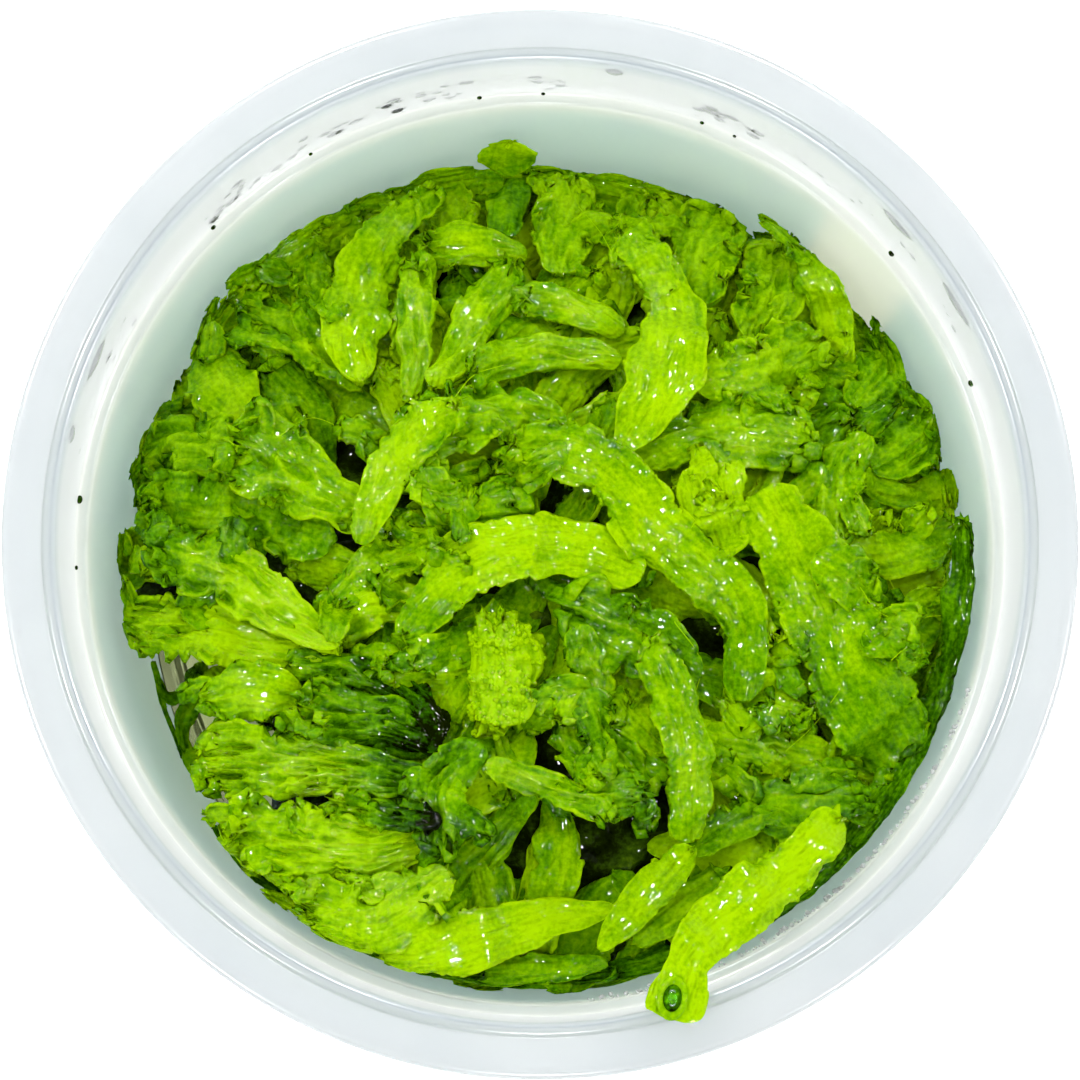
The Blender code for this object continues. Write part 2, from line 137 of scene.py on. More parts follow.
def shown(name, mesh, material):
    """An object that shows a mesh, with a material."""
    mesh.materials.append(material)
    made = bpy.data.objects.new(name, mesh)
    bpy.context.scene.collection.objects.link(made)
    return made


def make_object(name, form, material, smooth_angle=40.0):
    """A bmesh as an object. Edges that bend by more than an angle stay sharp."""
    mesh = as_mesh(name, form)
    mesh.set_sharp_from_angle(angle=math.radians(smooth_angle))
    return shown(name, mesh, material)


# %% [markdown]
# ## Light
# The cup stands in a white product box: a bright, even world lights it from all sides, also through
# its own milky wall, and one large soft box over the scene gives direction. A ring of small
# lamps does another job. A wet surface mirrors them as the sharp white glints that make the fronds
# look wet. They stand low, so that only the steep sides of folds catch them. Their diffuse light is
# left out, because small lamps would cast hard shadows. Few bounces of light are enough here, except
# through the milky wall, and fewer keep the render quick.

# %% Lights
# Linear RGBA.
WORLD_COLOUR = (0.97, 0.985, 1.0, 1.0)
WORLD_STRENGTH = 0.97
# Place in metres, size in metres, power in watts.
SOFT_BOX = ((-0.22, 0.25, 0.70), 0.6, 1.4)
GLINT_SIZE = 0.036
GLINT_POWER = 3.4
GLINT_LAMPS = 9
GLINT_REACH = 0.44
GLINT_HEIGHT = 0.42
# Share of the step between two lamps by which their ring is turned.
GLINT_TURN = 0.75
LAMPS_AIM = (0.0, 0.0, 0.04)

world = bpy.data.worlds.new("white_box")
bpy.context.scene.world = world
world.use_nodes = True
sky = world.node_tree.nodes["Background"]
sky.inputs["Color"].default_value = WORLD_COLOUR
sky.inputs["Strength"].default_value = WORLD_STRENGTH
world.cycles_visibility.glossy = False
bpy.context.scene.view_settings.view_transform = "Standard"


def add_lamp(name, place, size, power):
    light = bpy.data.lights.new(name, "AREA")
    light.size = size
    light.energy = power
    lamp = bpy.data.objects.new(name, light)
    lamp.location = place
    lamp.rotation_euler = (Vector(LAMPS_AIM) - Vector(place)).to_track_quat("-Z", "Y").to_euler()
    bpy.context.scene.collection.objects.link(lamp)
    return lamp


soft_box = add_lamp("soft_box", *SOFT_BOX)
soft_box.visible_glossy = False
for number in range(GLINT_LAMPS):
    turn = 2 * math.pi * (number + GLINT_TURN) / GLINT_LAMPS
    place = (GLINT_REACH * math.cos(turn), GLINT_REACH * math.sin(turn), GLINT_HEIGHT)
    glint = add_lamp(f"glint_{number + 1}", place, GLINT_SIZE, GLINT_POWER)
    glint.visible_diffuse = False
    glint.visible_transmission = False

cycles = bpy.context.scene.cycles
cycles.max_bounces = 5
cycles.diffuse_bounces = 2
cycles.glossy_bounces = 2
cycles.transmission_bounces = 4
cycles.caustics_reflective = False
print("lamps:", 1 + GLINT_LAMPS)

# %% [markdown]
# ## The floor
# A table of opal acrylic, lit from below, as product photographers use for pure white surroundings.
# It washes out the cup's shadow, and its light comes up through the milky plastic.

# %% Floor
FLOOR_GLOW = 0.6


def light_table():
    made, tree, place = new_material("lit_opal_acrylic")
    mottle = put(tree, "TexNoise", {"Vector": place, "Scale": 1 / (40 * MM), "Detail": 2.0})
    shade = put(tree, "ValToRGB", {"Fac": mottle.outputs["Fac"]})
    set_stops(shade, [(0.0, "#FAFAFA"), (1.0, "#FFFFFF")])
    surface = put(tree, "BsdfPrincipled", {
        "Base Color": shade.outputs["Color"],
        "Roughness": 0.9,
        "Emission Color": shade.outputs["Color"],
        "Emission Strength": FLOOR_GLOW,
    })
    put(tree, "OutputMaterial", {"Surface": surface.outputs["BSDF"]})
    return made


FLOOR_SIZE = 3.0
floor_form = bmesh.new()
bmesh.ops.create_grid(floor_form, x_segments=1, y_segments=1, size=FLOOR_SIZE / 2)
floor = shown("floor", as_mesh("floor", floor_form), light_table())
print("floor width in m:", FLOOR_SIZE)

# %% [markdown]
# ## The cup
# The cup is polypropylene, injection moulded. The plastic is see-through but milky, because its
# crystals scatter light, and moulding leaves every edge softly rounded. It is a turned shape, so one
# profile is drawn in the XZ plane and spun about the axis. Each corner of the profile is given a
# radius, and a function replaces it by a short arc.

# %% Profile helpers
ARC_STEPS = 5


def rounded(corners):
    """An outline in metres. Each corner, a radius, a height and a rounding in mm, becomes an arc."""
    corners = [(radius * MM, height * MM, rounding * MM) for radius, height, rounding in corners]
    points = [Vector(c[:2]) for c in corners]
    outline = []
    for i, (point, corner) in enumerate(zip(points, corners)):
        if corner[2] == 0.0:
            outline.append(point)
            continue
        start = point + (points[i - 1] - point).normalized() * corner[2]
        end = point + (points[i + 1] - point).normalized() * corner[2]
        for step in range(ARC_STEPS):
            t = step / (ARC_STEPS - 1)
            outline.append(start.lerp(point, t).lerp(point.lerp(end, t), t))
    return outline


def spun(corners, steps, start=0.0, degrees=360.0):
    """A profile spun about the Z axis."""
    form = bmesh.new()
    turn = math.radians(start)
    outline = rounded(corners)
    points = [form.verts.new((p.x * math.cos(turn), p.x * math.sin(turn), p.y)) for p in outline]
    edges = [form.edges.new(pair) for pair in zip(points, points[1:])]
    if degrees < 360.0:
        edges.append(form.edges.new((points[-1], points[0])))
    bmesh.ops.spin(form, geom=points + edges, cent=(0, 0, 0), axis=(0, 0, 1), steps=steps,
                   angle=math.radians(degrees), use_merge=degrees == 360.0)
    bmesh.ops.remove_doubles(form, verts=form.verts[:], dist=0.001 * MM)
    if degrees < 360.0:
        bmesh.ops.holes_fill(form, edges=[e for e in form.edges if e.is_boundary], sides=0)
    bmesh.ops.recalc_face_normals(form, faces=form.faces[:])
    return form


# %% Polypropylene
# Tints by height: painted yellow-green light below the ledge, painted grey shade at the flange top.
POLYPROPYLENE_TINTS_AND_PAINTED_LIGHT = [
    (0.0, "#E9ECDB"),
    (0.62, "#F2F4EB"),
    (0.67, "#FBFCFC"),
    (0.92, "#F8F9F9"),
    (1.0, "#DFE5E8"),
]


def milky(tree, surface, colour, share):
    """Mixes in light that is scattered right through a sheet, by a share."""
    through = put(tree, "BsdfTranslucent", {"Color": colour})
    mixed = put(tree, "MixShader", {0: share, 1: surface.outputs["BSDF"], 2: through.outputs["BSDF"]})
    put(tree, "OutputMaterial", {"Surface": mixed.outputs["Shader"]})


def milky_polypropylene():
    """Some light goes straight through with a blur, some is scattered through, some comes back.

    Below its ledge the wall is painted a little yellow-green, as painted light from the growth, and
    near the flange top it is painted greyer, as painted shade.
    """
    made, tree, place = new_material("moulded_polypropylene")
    cloud = put(tree, "TexNoise", {"Vector": place, "Scale": 1 / (12 * MM), "Detail": 2.0})
    # Colour by height: painted light below the ledge and painted shade at the flange top.
    height = put(tree, "SeparateXYZ", {"Vector": place}).outputs["Z"]
    share = put(tree, "MapRange", {"Value": height, "From Min": 24 * MM, "From Max": 56 * MM})
    wander = put(tree, "MapRange", {"Value": cloud.outputs["Fac"], "To Min": -0.02, "To Max": 0.02})
    level = put(tree, "Math", {0: share.outputs["Result"], 1: wander.outputs["Result"]}, operation="ADD")
    tint = put(tree, "ValToRGB", {"Fac": level.outputs["Value"]})
    set_stops(tint, POLYPROPYLENE_TINTS_AND_PAINTED_LIGHT)
    grain = put(tree, "TexNoise", {"Vector": place, "Scale": 1 / (3 * MM), "Detail": 1.0})
    gloss = put(tree, "MapRange", {"Value": grain.outputs["Fac"], "To Min": 0.16, "To Max": 0.26})
    ripple = put(tree, "Bump", {"Height": cloud.outputs["Fac"], "Strength": 0.1, "Distance": 0.2 * MM})
    surface = put(tree, "BsdfPrincipled", {
        "Base Color": tint.outputs["Color"],
        "Roughness": gloss.outputs["Result"],
        "IOR": 1.45,
        "Transmission Weight": 0.5,
        "Normal": ripple.outputs["Normal"],
    })
    milky(tree, surface, tint.outputs["Color"], 0.5)
    return made


# %% Cup
CUP_STEPS = 256
FLOOR_TOP = 2.4 * MM
LEDGE_TOP = 45.0 * MM
WALL_RADIUS_BOTTOM = 38.6 * MM
WALL_RADIUS_TOP = 43.1 * MM


def wall_radius(height):
    """Inner radius of the tapering wall at a height."""
    share = np.clip((height - FLOOR_TOP) / (LEDGE_TOP - FLOOR_TOP), 0.0, 1.0)
    return WALL_RADIUS_BOTTOM + (WALL_RADIUS_TOP - WALL_RADIUS_BOTTOM) * share


# From the middle of the floor, up the inside, over the rim and down the outside. In mm.
CUP_CORNERS = [
    (0.0, 2.4, 0.0),
    (38.6, 2.4, 1.2),
    (43.05, 44.7, 0.25),
    (43.25, 44.9, 0.1),
    (44.15, 45.1, 0.25),
    (44.2, 45.9, 0.3),
    (44.75, 53.6, 0.3),
    (44.9, 55.9, 0.45),
    (45.4, 56.0, 0.2),
    (46.05, 55.9, 0.35),
    (46.15, 55.2, 0.2),
    (46.8, 55.2, 0.2),
    (49.95, 55.2, 0.7),
    (50.0, 51.8, 0.3),
    (49.1, 51.8, 0.3),
    (49.0, 54.0, 0.4),
    (45.75, 54.0, 0.5),
    (45.1, 43.6, 0.4),
    (44.0, 42.95, 0.3),
    (39.5, 1.5, 0.5),
    (39.0, 0.0, 0.5),
    (36.0, 0.0, 0.4),
    (35.5, 1.3, 0.3),
    (0.0, 1.3, 0.0),
]
polypropylene = milky_polypropylene()
cup = make_object("cup_moulding", spun(CUP_CORNERS, CUP_STEPS), polypropylene)
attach(cup, "root")
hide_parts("cup")
print("cup faces:", len(cup.data.polygons))

# %% [markdown]
# ## The label
# A film is wrapped round the outside of the wall, and from above it shows through the milky plastic
# as a pale blue-green. Its two ends don't meet, so its profile is spun only part of the way round and
# the two ends are closed. It is bare.

# %% Label film
def label_film():
    """Clear tinted polyester. It clings to the wall, so its faces mirror little: its IOR is set low."""
    made, tree, place = new_material("tinted_polyester_film")
    mottle = put(tree, "TexNoise", {"Vector": place, "Scale": 1 / (15 * MM), "Detail": 2.0})
    tint = put(tree, "ValToRGB", {"Fac": mottle.outputs["Fac"]})
    set_stops(tint, [(0.35, "#E2F8FF"), (0.65, "#E9FAFF")])
    grain = put(tree, "TexNoise", {"Vector": place, "Scale": 1 / (0.4 * MM), "Detail": 1.0})
    gloss = put(tree, "MapRange", {"Value": grain.outputs["Fac"], "To Min": 0.35, "To Max": 0.5})
    ripple = put(tree, "Bump", {"Height": mottle.outputs["Fac"], "Strength": 0.2, "Distance": 0.1 * MM})
    surface = put(tree, "BsdfPrincipled", {
        "Base Color": tint.outputs["Color"],
        "Roughness": gloss.outputs["Result"],
        "IOR": 1.12,
        "Transmission Weight": 0.9,
        "Normal": ripple.outputs["Normal"],
    })
    milky(tree, surface, tint.outputs["Color"], 0.4)
    return made


# %% Label
LABEL_START = 50.0
LABEL_DEGREES = 345.0
LABEL_STEPS = 230
# In mm: the heights of its edges, the inner radius at each, and the thickness of the film.
LABEL_LOW = 9.0
LABEL_HIGH = 42.5
LABEL_INNER_LOW = 40.43
LABEL_INNER_HIGH = 44.07
LABEL_FILM = 0.2

label_corners = [
    (LABEL_INNER_LOW, LABEL_LOW, 0.0),
    (LABEL_INNER_HIGH, LABEL_HIGH, 0.0),
    (LABEL_INNER_HIGH + LABEL_FILM, LABEL_HIGH, 0.0),
    (LABEL_INNER_LOW + LABEL_FILM, LABEL_LOW, 0.0),
]
label_form = spun(label_corners, LABEL_STEPS, LABEL_START, LABEL_DEGREES)
label = make_object("label_film", label_form, label_film())
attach(label, "root")
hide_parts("label")
print("label faces:", len(label.data.polygons))

# %% [markdown]
# ## The gel
# Nutrient gel sets like a clear jelly. It refracts almost as water does, is a little hazy, and takes
# on some yellow-green from the plant. It creeps a millimetre up the wall where it meets it. It fills
# a round cup, so it is spun from a profile too.

# %% Nutrient gel
def nutrient_gel():
    made, tree, place = new_material("clear_nutrient_gel")
    dimple = put(tree, "TexNoise", {"Vector": place, "Scale": 1 / (5 * MM), "Detail": 2.0})
    ripple = put(tree, "Bump", {"Height": dimple.outputs["Fac"], "Strength": 0.4, "Distance": 0.5 * MM})
    gloss = put(tree, "MapRange", {"Value": dimple.outputs["Fac"], "To Min": 0.02, "To Max": 0.10})
    tint = put(tree, "ValToRGB", {"Fac": dimple.outputs["Fac"]})
    set_stops(tint, [(0.3, "#EEFAC4"), (0.7, "#F6FDDA")])
    surface = put(tree, "BsdfPrincipled", {
        "Base Color": tint.outputs["Color"],
        "Roughness": gloss.outputs["Result"],
        "IOR": 1.34,
        "Transmission Weight": 1.0,
        "Normal": ripple.outputs["Normal"],
    })
    milky(tree, surface, tint.outputs["Color"], 0.12)
    return made


# %% Gel
GEL_STEPS = 128
GEL_CORNERS = [
    (0.0, 14.0, 0.0),
    (35.5, 14.0, 2.0),
    (38.9, 14.3, 0.8),
    (39.5, 14.75, 0.1),
    (38.45, 3.2, 1.0),
    (37.6, 2.7, 0.4),
    (0.0, 2.7, 0.0),
]
gel = make_object("nutrient_gel", spun(GEL_CORNERS, GEL_STEPS), nutrient_gel())
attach(gel, "root")
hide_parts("gel")
print("gel faces:", len(gel.data.polygons))

# %% [markdown]
# ## The green of a wet thallus
# The thallus is a few cells thick, full of water and chlorophyll, with no waxy skin, so it is lime
# where it is thin and young. Under a lens it is speckled with cells. The shape code below writes one
# number, lime, on each point of a frond, and the material turns it into colour, broken up by patches
# and by the speckle. That number also holds painted shade and light: it is painted deep green where
# frills crowd together and fold, lighter on crests, and brightest at the thin rim, as painted rim
# light. Fine pleats run along every frond, so the shape code also writes where each point lies on its
# own sheet, in mm, with the length pressed together, and noise over that makes streaks, painted
# lighter on their tops and darker in their hollows, as painted shade. A clear coat is the film of
# water on it.

# %% Thallus material
PATCH_SIZE = 4.0 * MM
CELL_SIZE = 0.2 * MM
DIMPLE_SIZE = 0.5 * MM
# The pleats' noise reads the sheet attribute, which is in mm.
PLEAT_SIZE = 0.75
THALLUS_GREENS = [
    (0.0, "#101A00"),
    (0.25, "#356C00"),
    (0.5, "#64A200"),
    (0.75, "#90C600"),
    (1.0, "#B2E202"),
]
OLD_GREENS = [
    (0.0, "#0B0F02"),
    (0.3, "#1E2B02"),
    (0.6, "#42600A"),
    (1.0, "#7CA008"),
]


def thallus(name, greens):
    """Fleshy liverwort tissue. Only the film of water on it mirrors, as its coat."""
    made, tree, place = new_material(name)
    lime = put(tree, "Attribute", attribute_name="lime").outputs["Fac"]
    patches = put(tree, "TexNoise", {"Vector": place, "Scale": 1 / PATCH_SIZE, "Detail": 0.0})
    cells = put(tree, "TexNoise", {"Vector": place, "Scale": 1 / CELL_SIZE, "Detail": 0.0})
    dimples = put(tree, "TexNoise", {"Vector": place, "Scale": 1 / DIMPLE_SIZE, "Detail": 0.0})
    sheet = put(tree, "Attribute", attribute_name="sheet").outputs["Vector"]
    pleats = put(tree, "TexNoise", {"Vector": sheet, "Scale": 1 / PLEAT_SIZE, "Detail": 1.0})
    # Patches and cells are the tissue's own tone. Pleats and dimples also raise the bump, so their
    # colour is lighter on their tops and darker in their hollows: painted shade.
    tones_and_painted_shade = (
        (patches, -0.16, 0.16),
        (cells, -0.12, 0.10),
        (dimples, -0.20, 0.20),
        (pleats, -0.20, 0.28),
    )
    total = lime
    for noise, low, high in tones_and_painted_shade:
        part = put(tree, "MapRange", {"Value": noise.outputs["Fac"], "To Min": low, "To Max": high})
        added = put(tree, "Math", {0: total, 1: part.outputs["Result"]}, operation="ADD")
        total = added.outputs["Value"]
    colour = put(tree, "ValToRGB", {"Fac": total})
    set_stops(colour, greens)
    gloss = put(tree, "MapRange", {"Value": dimples.outputs["Fac"], "To Min": 0.15, "To Max": 0.45})
    folds = put(tree, "Bump", {"Height": pleats.outputs["Fac"], "Strength": 0.8, "Distance": 0.9 * MM})
    relief = put(tree, "Bump", {
        "Height": dimples.outputs["Fac"],
        "Strength": 0.7,
        "Distance": 0.25 * MM,
        "Normal": folds.outputs["Normal"],
    })
    surface = put(tree, "BsdfPrincipled", {
        "Base Color": colour.outputs["Color"],
        "Roughness": gloss.outputs["Result"],
        "IOR": 1.38,
        "Specular IOR Level": 0.0,
        "Coat Weight": 0.28,
        "Coat Roughness": 0.06,
        "Coat IOR": 1.33,
        "Normal": relief.outputs["Normal"],
    })
    put(tree, "OutputMaterial", {"Surface": surface.outputs["BSDF"]})
    return made


young_thallus = thallus("wet_young_thallus", THALLUS_GREENS)
old_thallus = thallus("wet_old_thallus", OLD_GREENS)
print("greens:", young_thallus.name, old_thallus.name)

# %% [markdown]
# ## How a frond is shaped
# A frond is a sheet. It starts as a thin closed slab: a flat grid, with a copy of it pulled down.
# Then each point is moved to its place. Along the sheet it follows a middle line, and across the
# sheet the distance is bent step by step, as paper bends. Where the bend swings up and down along
# the edge, the edge becomes a frill that folds over itself, which plain waves of height can't do.

# %% Curves and waves
STEPS_BETWEEN = 20
RIPPLE_WAVES = 7
RIPPLE_SPREAD = 2.8


def smooth_line(points, count):
    """Points spaced evenly along a smooth curve through a few given ones."""
    given = np.array(points, float)
    padded = np.vstack([2 * given[0] - given[1], given, 2 * given[-1] - given[-2]])
    curve = []
    for i in range(1, len(padded) - 2):
        before, start, end, after = padded[i - 1 : i + 3]
        for t in np.linspace(0, 1, STEPS_BETWEEN, endpoint=False):
            bend = (2 * before - 5 * start + 4 * end - after) * t**2
            twist = (3 * start - before - 3 * end + after) * t**3
            curve.append(0.5 * (2 * start + (end - before) * t + bend + twist))
    curve = np.array([*curve, given[-1]])
    along = np.concatenate([[0], np.cumsum(np.linalg.norm(np.diff(curve, axis=0), axis=1))])
    at = np.linspace(0, along[-1], count)
    return np.stack([np.interp(at, along, curve[:, k]) for k in range(given.shape[1])], axis=1)


def ripple(seed, wavelength, *where):
    """Smooth noise of about -1 to 1: waves in seeded directions, over coordinates in mm."""
    chance = np.random.default_rng(seed)
    total = 0.0
    for _ in range(RIPPLE_WAVES):
        heading = chance.normal(size=len(where))
        heading *= 2 * math.pi * chance.uniform(0.55, 1.7) / wavelength / np.linalg.norm(heading)
        total = total + np.sin(sum(h * w for h, w in zip(heading, where)) + chance.uniform(0, 6.28))
    return total / RIPPLE_SPREAD


def fade(value, start, end):
    """0 before start, 1 after end, and smooth between."""
    t = np.clip((value - start) / (end - start), 0, 1)
    return t * t * (3 - 2 * t)


def unit(vectors):
    return vectors / np.linalg.norm(vectors, axis=-1, keepdims=True)


print("a ripple at 0, 1 and 2 mm:", ripple(1, 3.0, np.arange(3.0)).round(2))

# %% [markdown]
# ## The forms of frond
# The photograph shows a few habits again and again: fleshy straps, pointed blades, pleated fans and
# crisped ones like parsley, and one warty clump. Each is a set of values for the same function.

# %% Forms
# outline: share of the full width at the base, at one and two thirds, and at the tip.
# thick, edge: thickness in the middle and at the edge, in mm.
# arch: how far the sheet bends down (or up, if positive) from its middle to its edges, in degrees.
# frill, wave, hinge, calm: how far the edge swings in degrees, its spacing in mm, the share of the
# half-width where it starts, and the share of the length that stays calm.
# ridge, ridges: height of the folds that run along it in mm, and how many there are each side.
# blister, bubble: height and spacing in mm of swellings with no direction.
# lobes, fingers, fray: depth of the lobes of its outline as a share, and the number and length in mm
# of those at its tip. branches: how many small side fronds it bears.
FORMS = {
    "strap": dict(outline=(0.55, 0.85, 1.0, 1.0), thick=1.3, edge=0.7, arch=-30, frill=22, wave=3.0,
                  hinge=0.6, calm=0.45, ridge=0.36, ridges=2.1, blister=0.03, bubble=1.9, lobes=0.06,
                  fingers=3, fray=0.7, branches=0),
    "blade": dict(outline=(0.3, 0.9, 1.0, 0.5), thick=1.1, edge=0.45, arch=-16, frill=46, wave=4.0,
                  hinge=0.55, calm=0.15, ridge=0.17, ridges=2.2, blister=0.05, bubble=2.2, lobes=0.20,
                  fingers=3, fray=0.8, branches=1),
    "fan": dict(outline=(0.35, 0.6, 0.9, 1.05), thick=1.2, edge=0.45, arch=-14, frill=75, wave=3.4,
                hinge=0.4, calm=0.35, ridge=0.62, ridges=3.6, blister=0.10, bubble=1.8, lobes=0.24,
                fingers=6, fray=1.5, branches=3),
    "crisp": dict(outline=(0.5, 0.85, 1.0, 0.85), thick=1.0, edge=0.4, arch=-8, frill=88, wave=3.0,
                  hinge=0.25, calm=0.0, ridge=0.46, ridges=2.6, blister=0.16, bubble=1.7, lobes=0.26,
                  fingers=5, fray=1.4, branches=3),
    "broad": dict(outline=(0.3, 0.9, 1.0, 0.5), thick=1.1, edge=0.4, arch=-14, frill=58, wave=3.0,
                  hinge=0.62, calm=0.3, ridge=0.12, ridges=2.4, blister=0.04, bubble=1.7, lobes=0.12,
                  fingers=2, fray=0.4, branches=0),
    "puckered": dict(outline=(0.6, 0.95, 1.0, 0.7), thick=1.0, edge=0.4, arch=-10, frill=66, wave=3.8,
                     hinge=0.55, calm=0.0, ridge=0.13, ridges=3.0, blister=0.10, bubble=1.5, lobes=0.24,
                     fingers=3, fray=1.2, branches=2),
    "ribbon": dict(outline=(0.7, 0.95, 1.0, 0.8), thick=1.1, edge=0.45, arch=-14, frill=52, wave=3.2,
                   hinge=0.6, calm=0.0, ridge=0.20, ridges=2.4, blister=0.06, bubble=1.5, lobes=0.18,
                   fingers=3, fray=0.9, branches=0),
    "stems": dict(outline=(0.7, 0.8, 0.95, 1.0), thick=1.4, edge=0.8, arch=-30, frill=30, wave=4.0,
                  hinge=0.5, calm=0.5, ridge=0.8, ridges=2.8, blister=0.05, bubble=2.0, lobes=0.10,
                  fingers=4, fray=1.0, branches=0),
    "star": dict(outline=(0.75, 0.95, 1.0, 1.1), thick=0.9, edge=0.5, arch=-4, frill=14, wave=4.0,
                 hinge=0.5, calm=0.3, ridge=0.05, ridges=2.0, blister=0.04, bubble=2.0, lobes=0.10,
                 fingers=2, fray=3.6, branches=0),
    "warty": dict(outline=(0.8, 1.0, 1.0, 0.8), thick=2.6, edge=1.2, arch=-50, frill=25, wave=3.4,
                  hinge=0.3, calm=0.0, ridge=0.0, ridges=1, blister=0.35, bubble=1.9, lobes=0.24,
                  fingers=4, fray=0.7, branches=0),
    "tip": dict(outline=(0.6, 0.95, 1.0, 0.85), thick=0.8, edge=0.35, arch=-12, frill=80, wave=2.4,
                hinge=0.2, calm=0.0, ridge=0.28, ridges=1.8, blister=0.08, bubble=1.5, lobes=0.26,
                fingers=3, fray=0.9, branches=0),
}
print("forms:", *FORMS)

# %% Middle line and outline of a sheet
WALL_MARGIN = 0.4 * MM
WALL_EASE = 3.0 * MM


def directions(spine, roll):
    """Unit directions along, across and out of a sheet at each point of its middle line."""
    ahead = unit(np.gradient(spine, axis=0))
    side = unit(np.cross([0.0, 0.0, 1.0], ahead))
    out = np.cross(ahead, side)
    turn = np.radians(roll)[:, None]
    side = side * np.cos(turn) + out * np.sin(turn)
    return ahead, side, np.cross(ahead, side)


def kept_inside(places):
    """Presses together, in their order, the points that would pass through the cup's wall."""
    reach = np.hypot(places[..., 0], places[..., 1])
    limit = wall_radius(places[..., 2]) - WALL_MARGIN
    past = np.maximum((reach - limit) / WALL_EASE + 1, 0)
    drawn = np.where(past > 0, limit - WALL_EASE * np.exp(-past), reach)
    places[..., :2] *= (drawn / np.maximum(reach, 1 * MM))[..., None]
    return places


def half_width(shape, width, sides, along, across, length):
    """Distance from the middle line to the edge. Sides is measured rows of share, left and right."""
    if sides:
        shares, left, right = zip(*sides)
        half = np.where(across > 0, np.interp(along, shares, left), np.interp(along, shares, right))
    else:
        half = width / 2 * np.interp(along, (0, 1 / 3, 2 / 3, 1), shape["outline"]) + 0 * across
    cap = min(0.25, 0.45 * half.max() / length)
    tip = np.sqrt(1 - 0.95 * np.clip((along - 1 + cap) / cap, 0, 1) ** 2)
    foot = np.sqrt(1 - 0.85 * np.clip((cap - along) / cap, 0, 1) ** 2)
    return half * tip * foot


# %% Points of one sheet
def sheet_points(spine, width, shape, seed, roll, rows, columns, sides=None):
    """Arrays over a sheet: its top and underside, how frilled and raised it is, and mm across."""
    length = np.linalg.norm(np.diff(spine, axis=0), axis=1).sum() / MM
    along = np.linspace(0, 1, rows + 1)[:, None]
    across = np.linspace(-1, 1, columns + 1)[None, :]
    edge = np.abs(across)
    hand = 3.0 * np.sign(across)
    far = along * length
    at = along[:, 0] * (len(spine) - 1)
    middle = np.stack([np.interp(at, np.arange(len(spine)), spine[:, k]) for k in range(3)], axis=1)
    middle[:, 2] += 0.35 * MM * ripple(seed, 7.0, far[:, 0])
    ahead, side, out = directions(middle, roll + 12 * ripple(seed + 1, 9.0, far[:, 0]))

    # Each edge has its own run of waves. Their spacing and height wander, and the cube of the sine
    # keeps the edge flat for most of a wave, with short folds between, as round lobes have. A finer
    # wave crinkles the very edge.
    waves = 2 * math.pi * far / shape["wave"]
    phase = np.where(across < 0, *(waves + 3.6 * ripple(seed + k, 7.0, far) + k for k in (2, 3)))
    swell = 0.12 + 0.88 * fade(along, shape["calm"] - 0.15, shape["calm"] + 0.4)
    swell = swell * np.clip(0.6 + 0.9 * ripple(seed + 4, 6.0, far, hand), 0.08, 1.3)
    flap = np.clip((edge - shape["hinge"]) / (1 - shape["hinge"]), 0, 1) ** 1.3
    crinkle = 0.35 * np.abs(flap) * np.sin(2.7 * phase + 2.0 * ripple(seed + 10, 3.0, far, hand))
    swing = swell * flap * (np.sin(phase) ** 3 + crinkle)
    bend = np.radians(shape["arch"] * edge + shape["frill"] * swing)

    half = half_width(shape, width, sides, along, across, length)
    notch = np.sqrt(np.abs(np.cos(phase)))
    half = half * (1 - shape["lobes"] * swell * (1 - notch) + 0.08 * ripple(seed + 5, 5.0, far, hand))
    half = half + 0.13 * swell * ripple(seed + 9, 1.3, far, hand)
    step = 2 / columns
    sideways = np.cumsum(half * np.cos(bend), axis=1) * step
    upwards = np.cumsum(half * np.sin(bend) * np.sign(across), axis=1) * step
    sideways -= sideways[:, [columns // 2]]
    upwards -= upwards[:, [columns // 2]]

    # Folds run along the sheet, and blisters have no direction.
    grow = fade(along, -0.1, 0.4) * (0.7 + 0.45 * ripple(seed + 8, 4.0, far, across * half))
    fold = ripple(seed + 6, 2.0, far / 4.5, across * shape["ridges"])
    crease = 0.9 - 2 * np.sqrt(fold**2 + 0.03)
    blister = ripple(seed + 7, shape["bubble"], far, across * half)
    swollen = 0.4 + 0.6 * np.clip(swell, 0, 1)
    relief = shape["ridge"] * crease * grow + shape["blister"] * blister * swollen
    upwards += relief * np.sqrt(1 - 0.7 * edge**2)
    finger = np.abs(np.cos(shape["fingers"] * math.pi * across / 2)) ** 0.8
    forward = shape["fray"] * fade(along, 0.72, 1.0) * (finger - 0.4)
    forward = forward + 0.3 * flap * swell * np.cos(phase)

    top = middle[:, None] + (ahead[:, None] * forward[..., None] + side[:, None] * sideways[..., None]
                             + out[:, None] * upwards[..., None]) * MM
    facing = unit(np.cross(np.gradient(top, axis=0), np.gradient(top, axis=1)))
    thickness = shape["edge"] + (shape["thick"] - shape["edge"]) * (1 - edge**2)
    under = top - facing * (thickness * MM)[..., None]
    return top, under, flap * np.clip(swell, 0, 1), relief / 0.3, across * half


# %% One sheet as a closed slab
# Side of a mesh cell in mm, and how far the pleats' noise is drawn out along a frond.
MESH_CELL = 0.27
PLEAT_STRETCH = 4.5


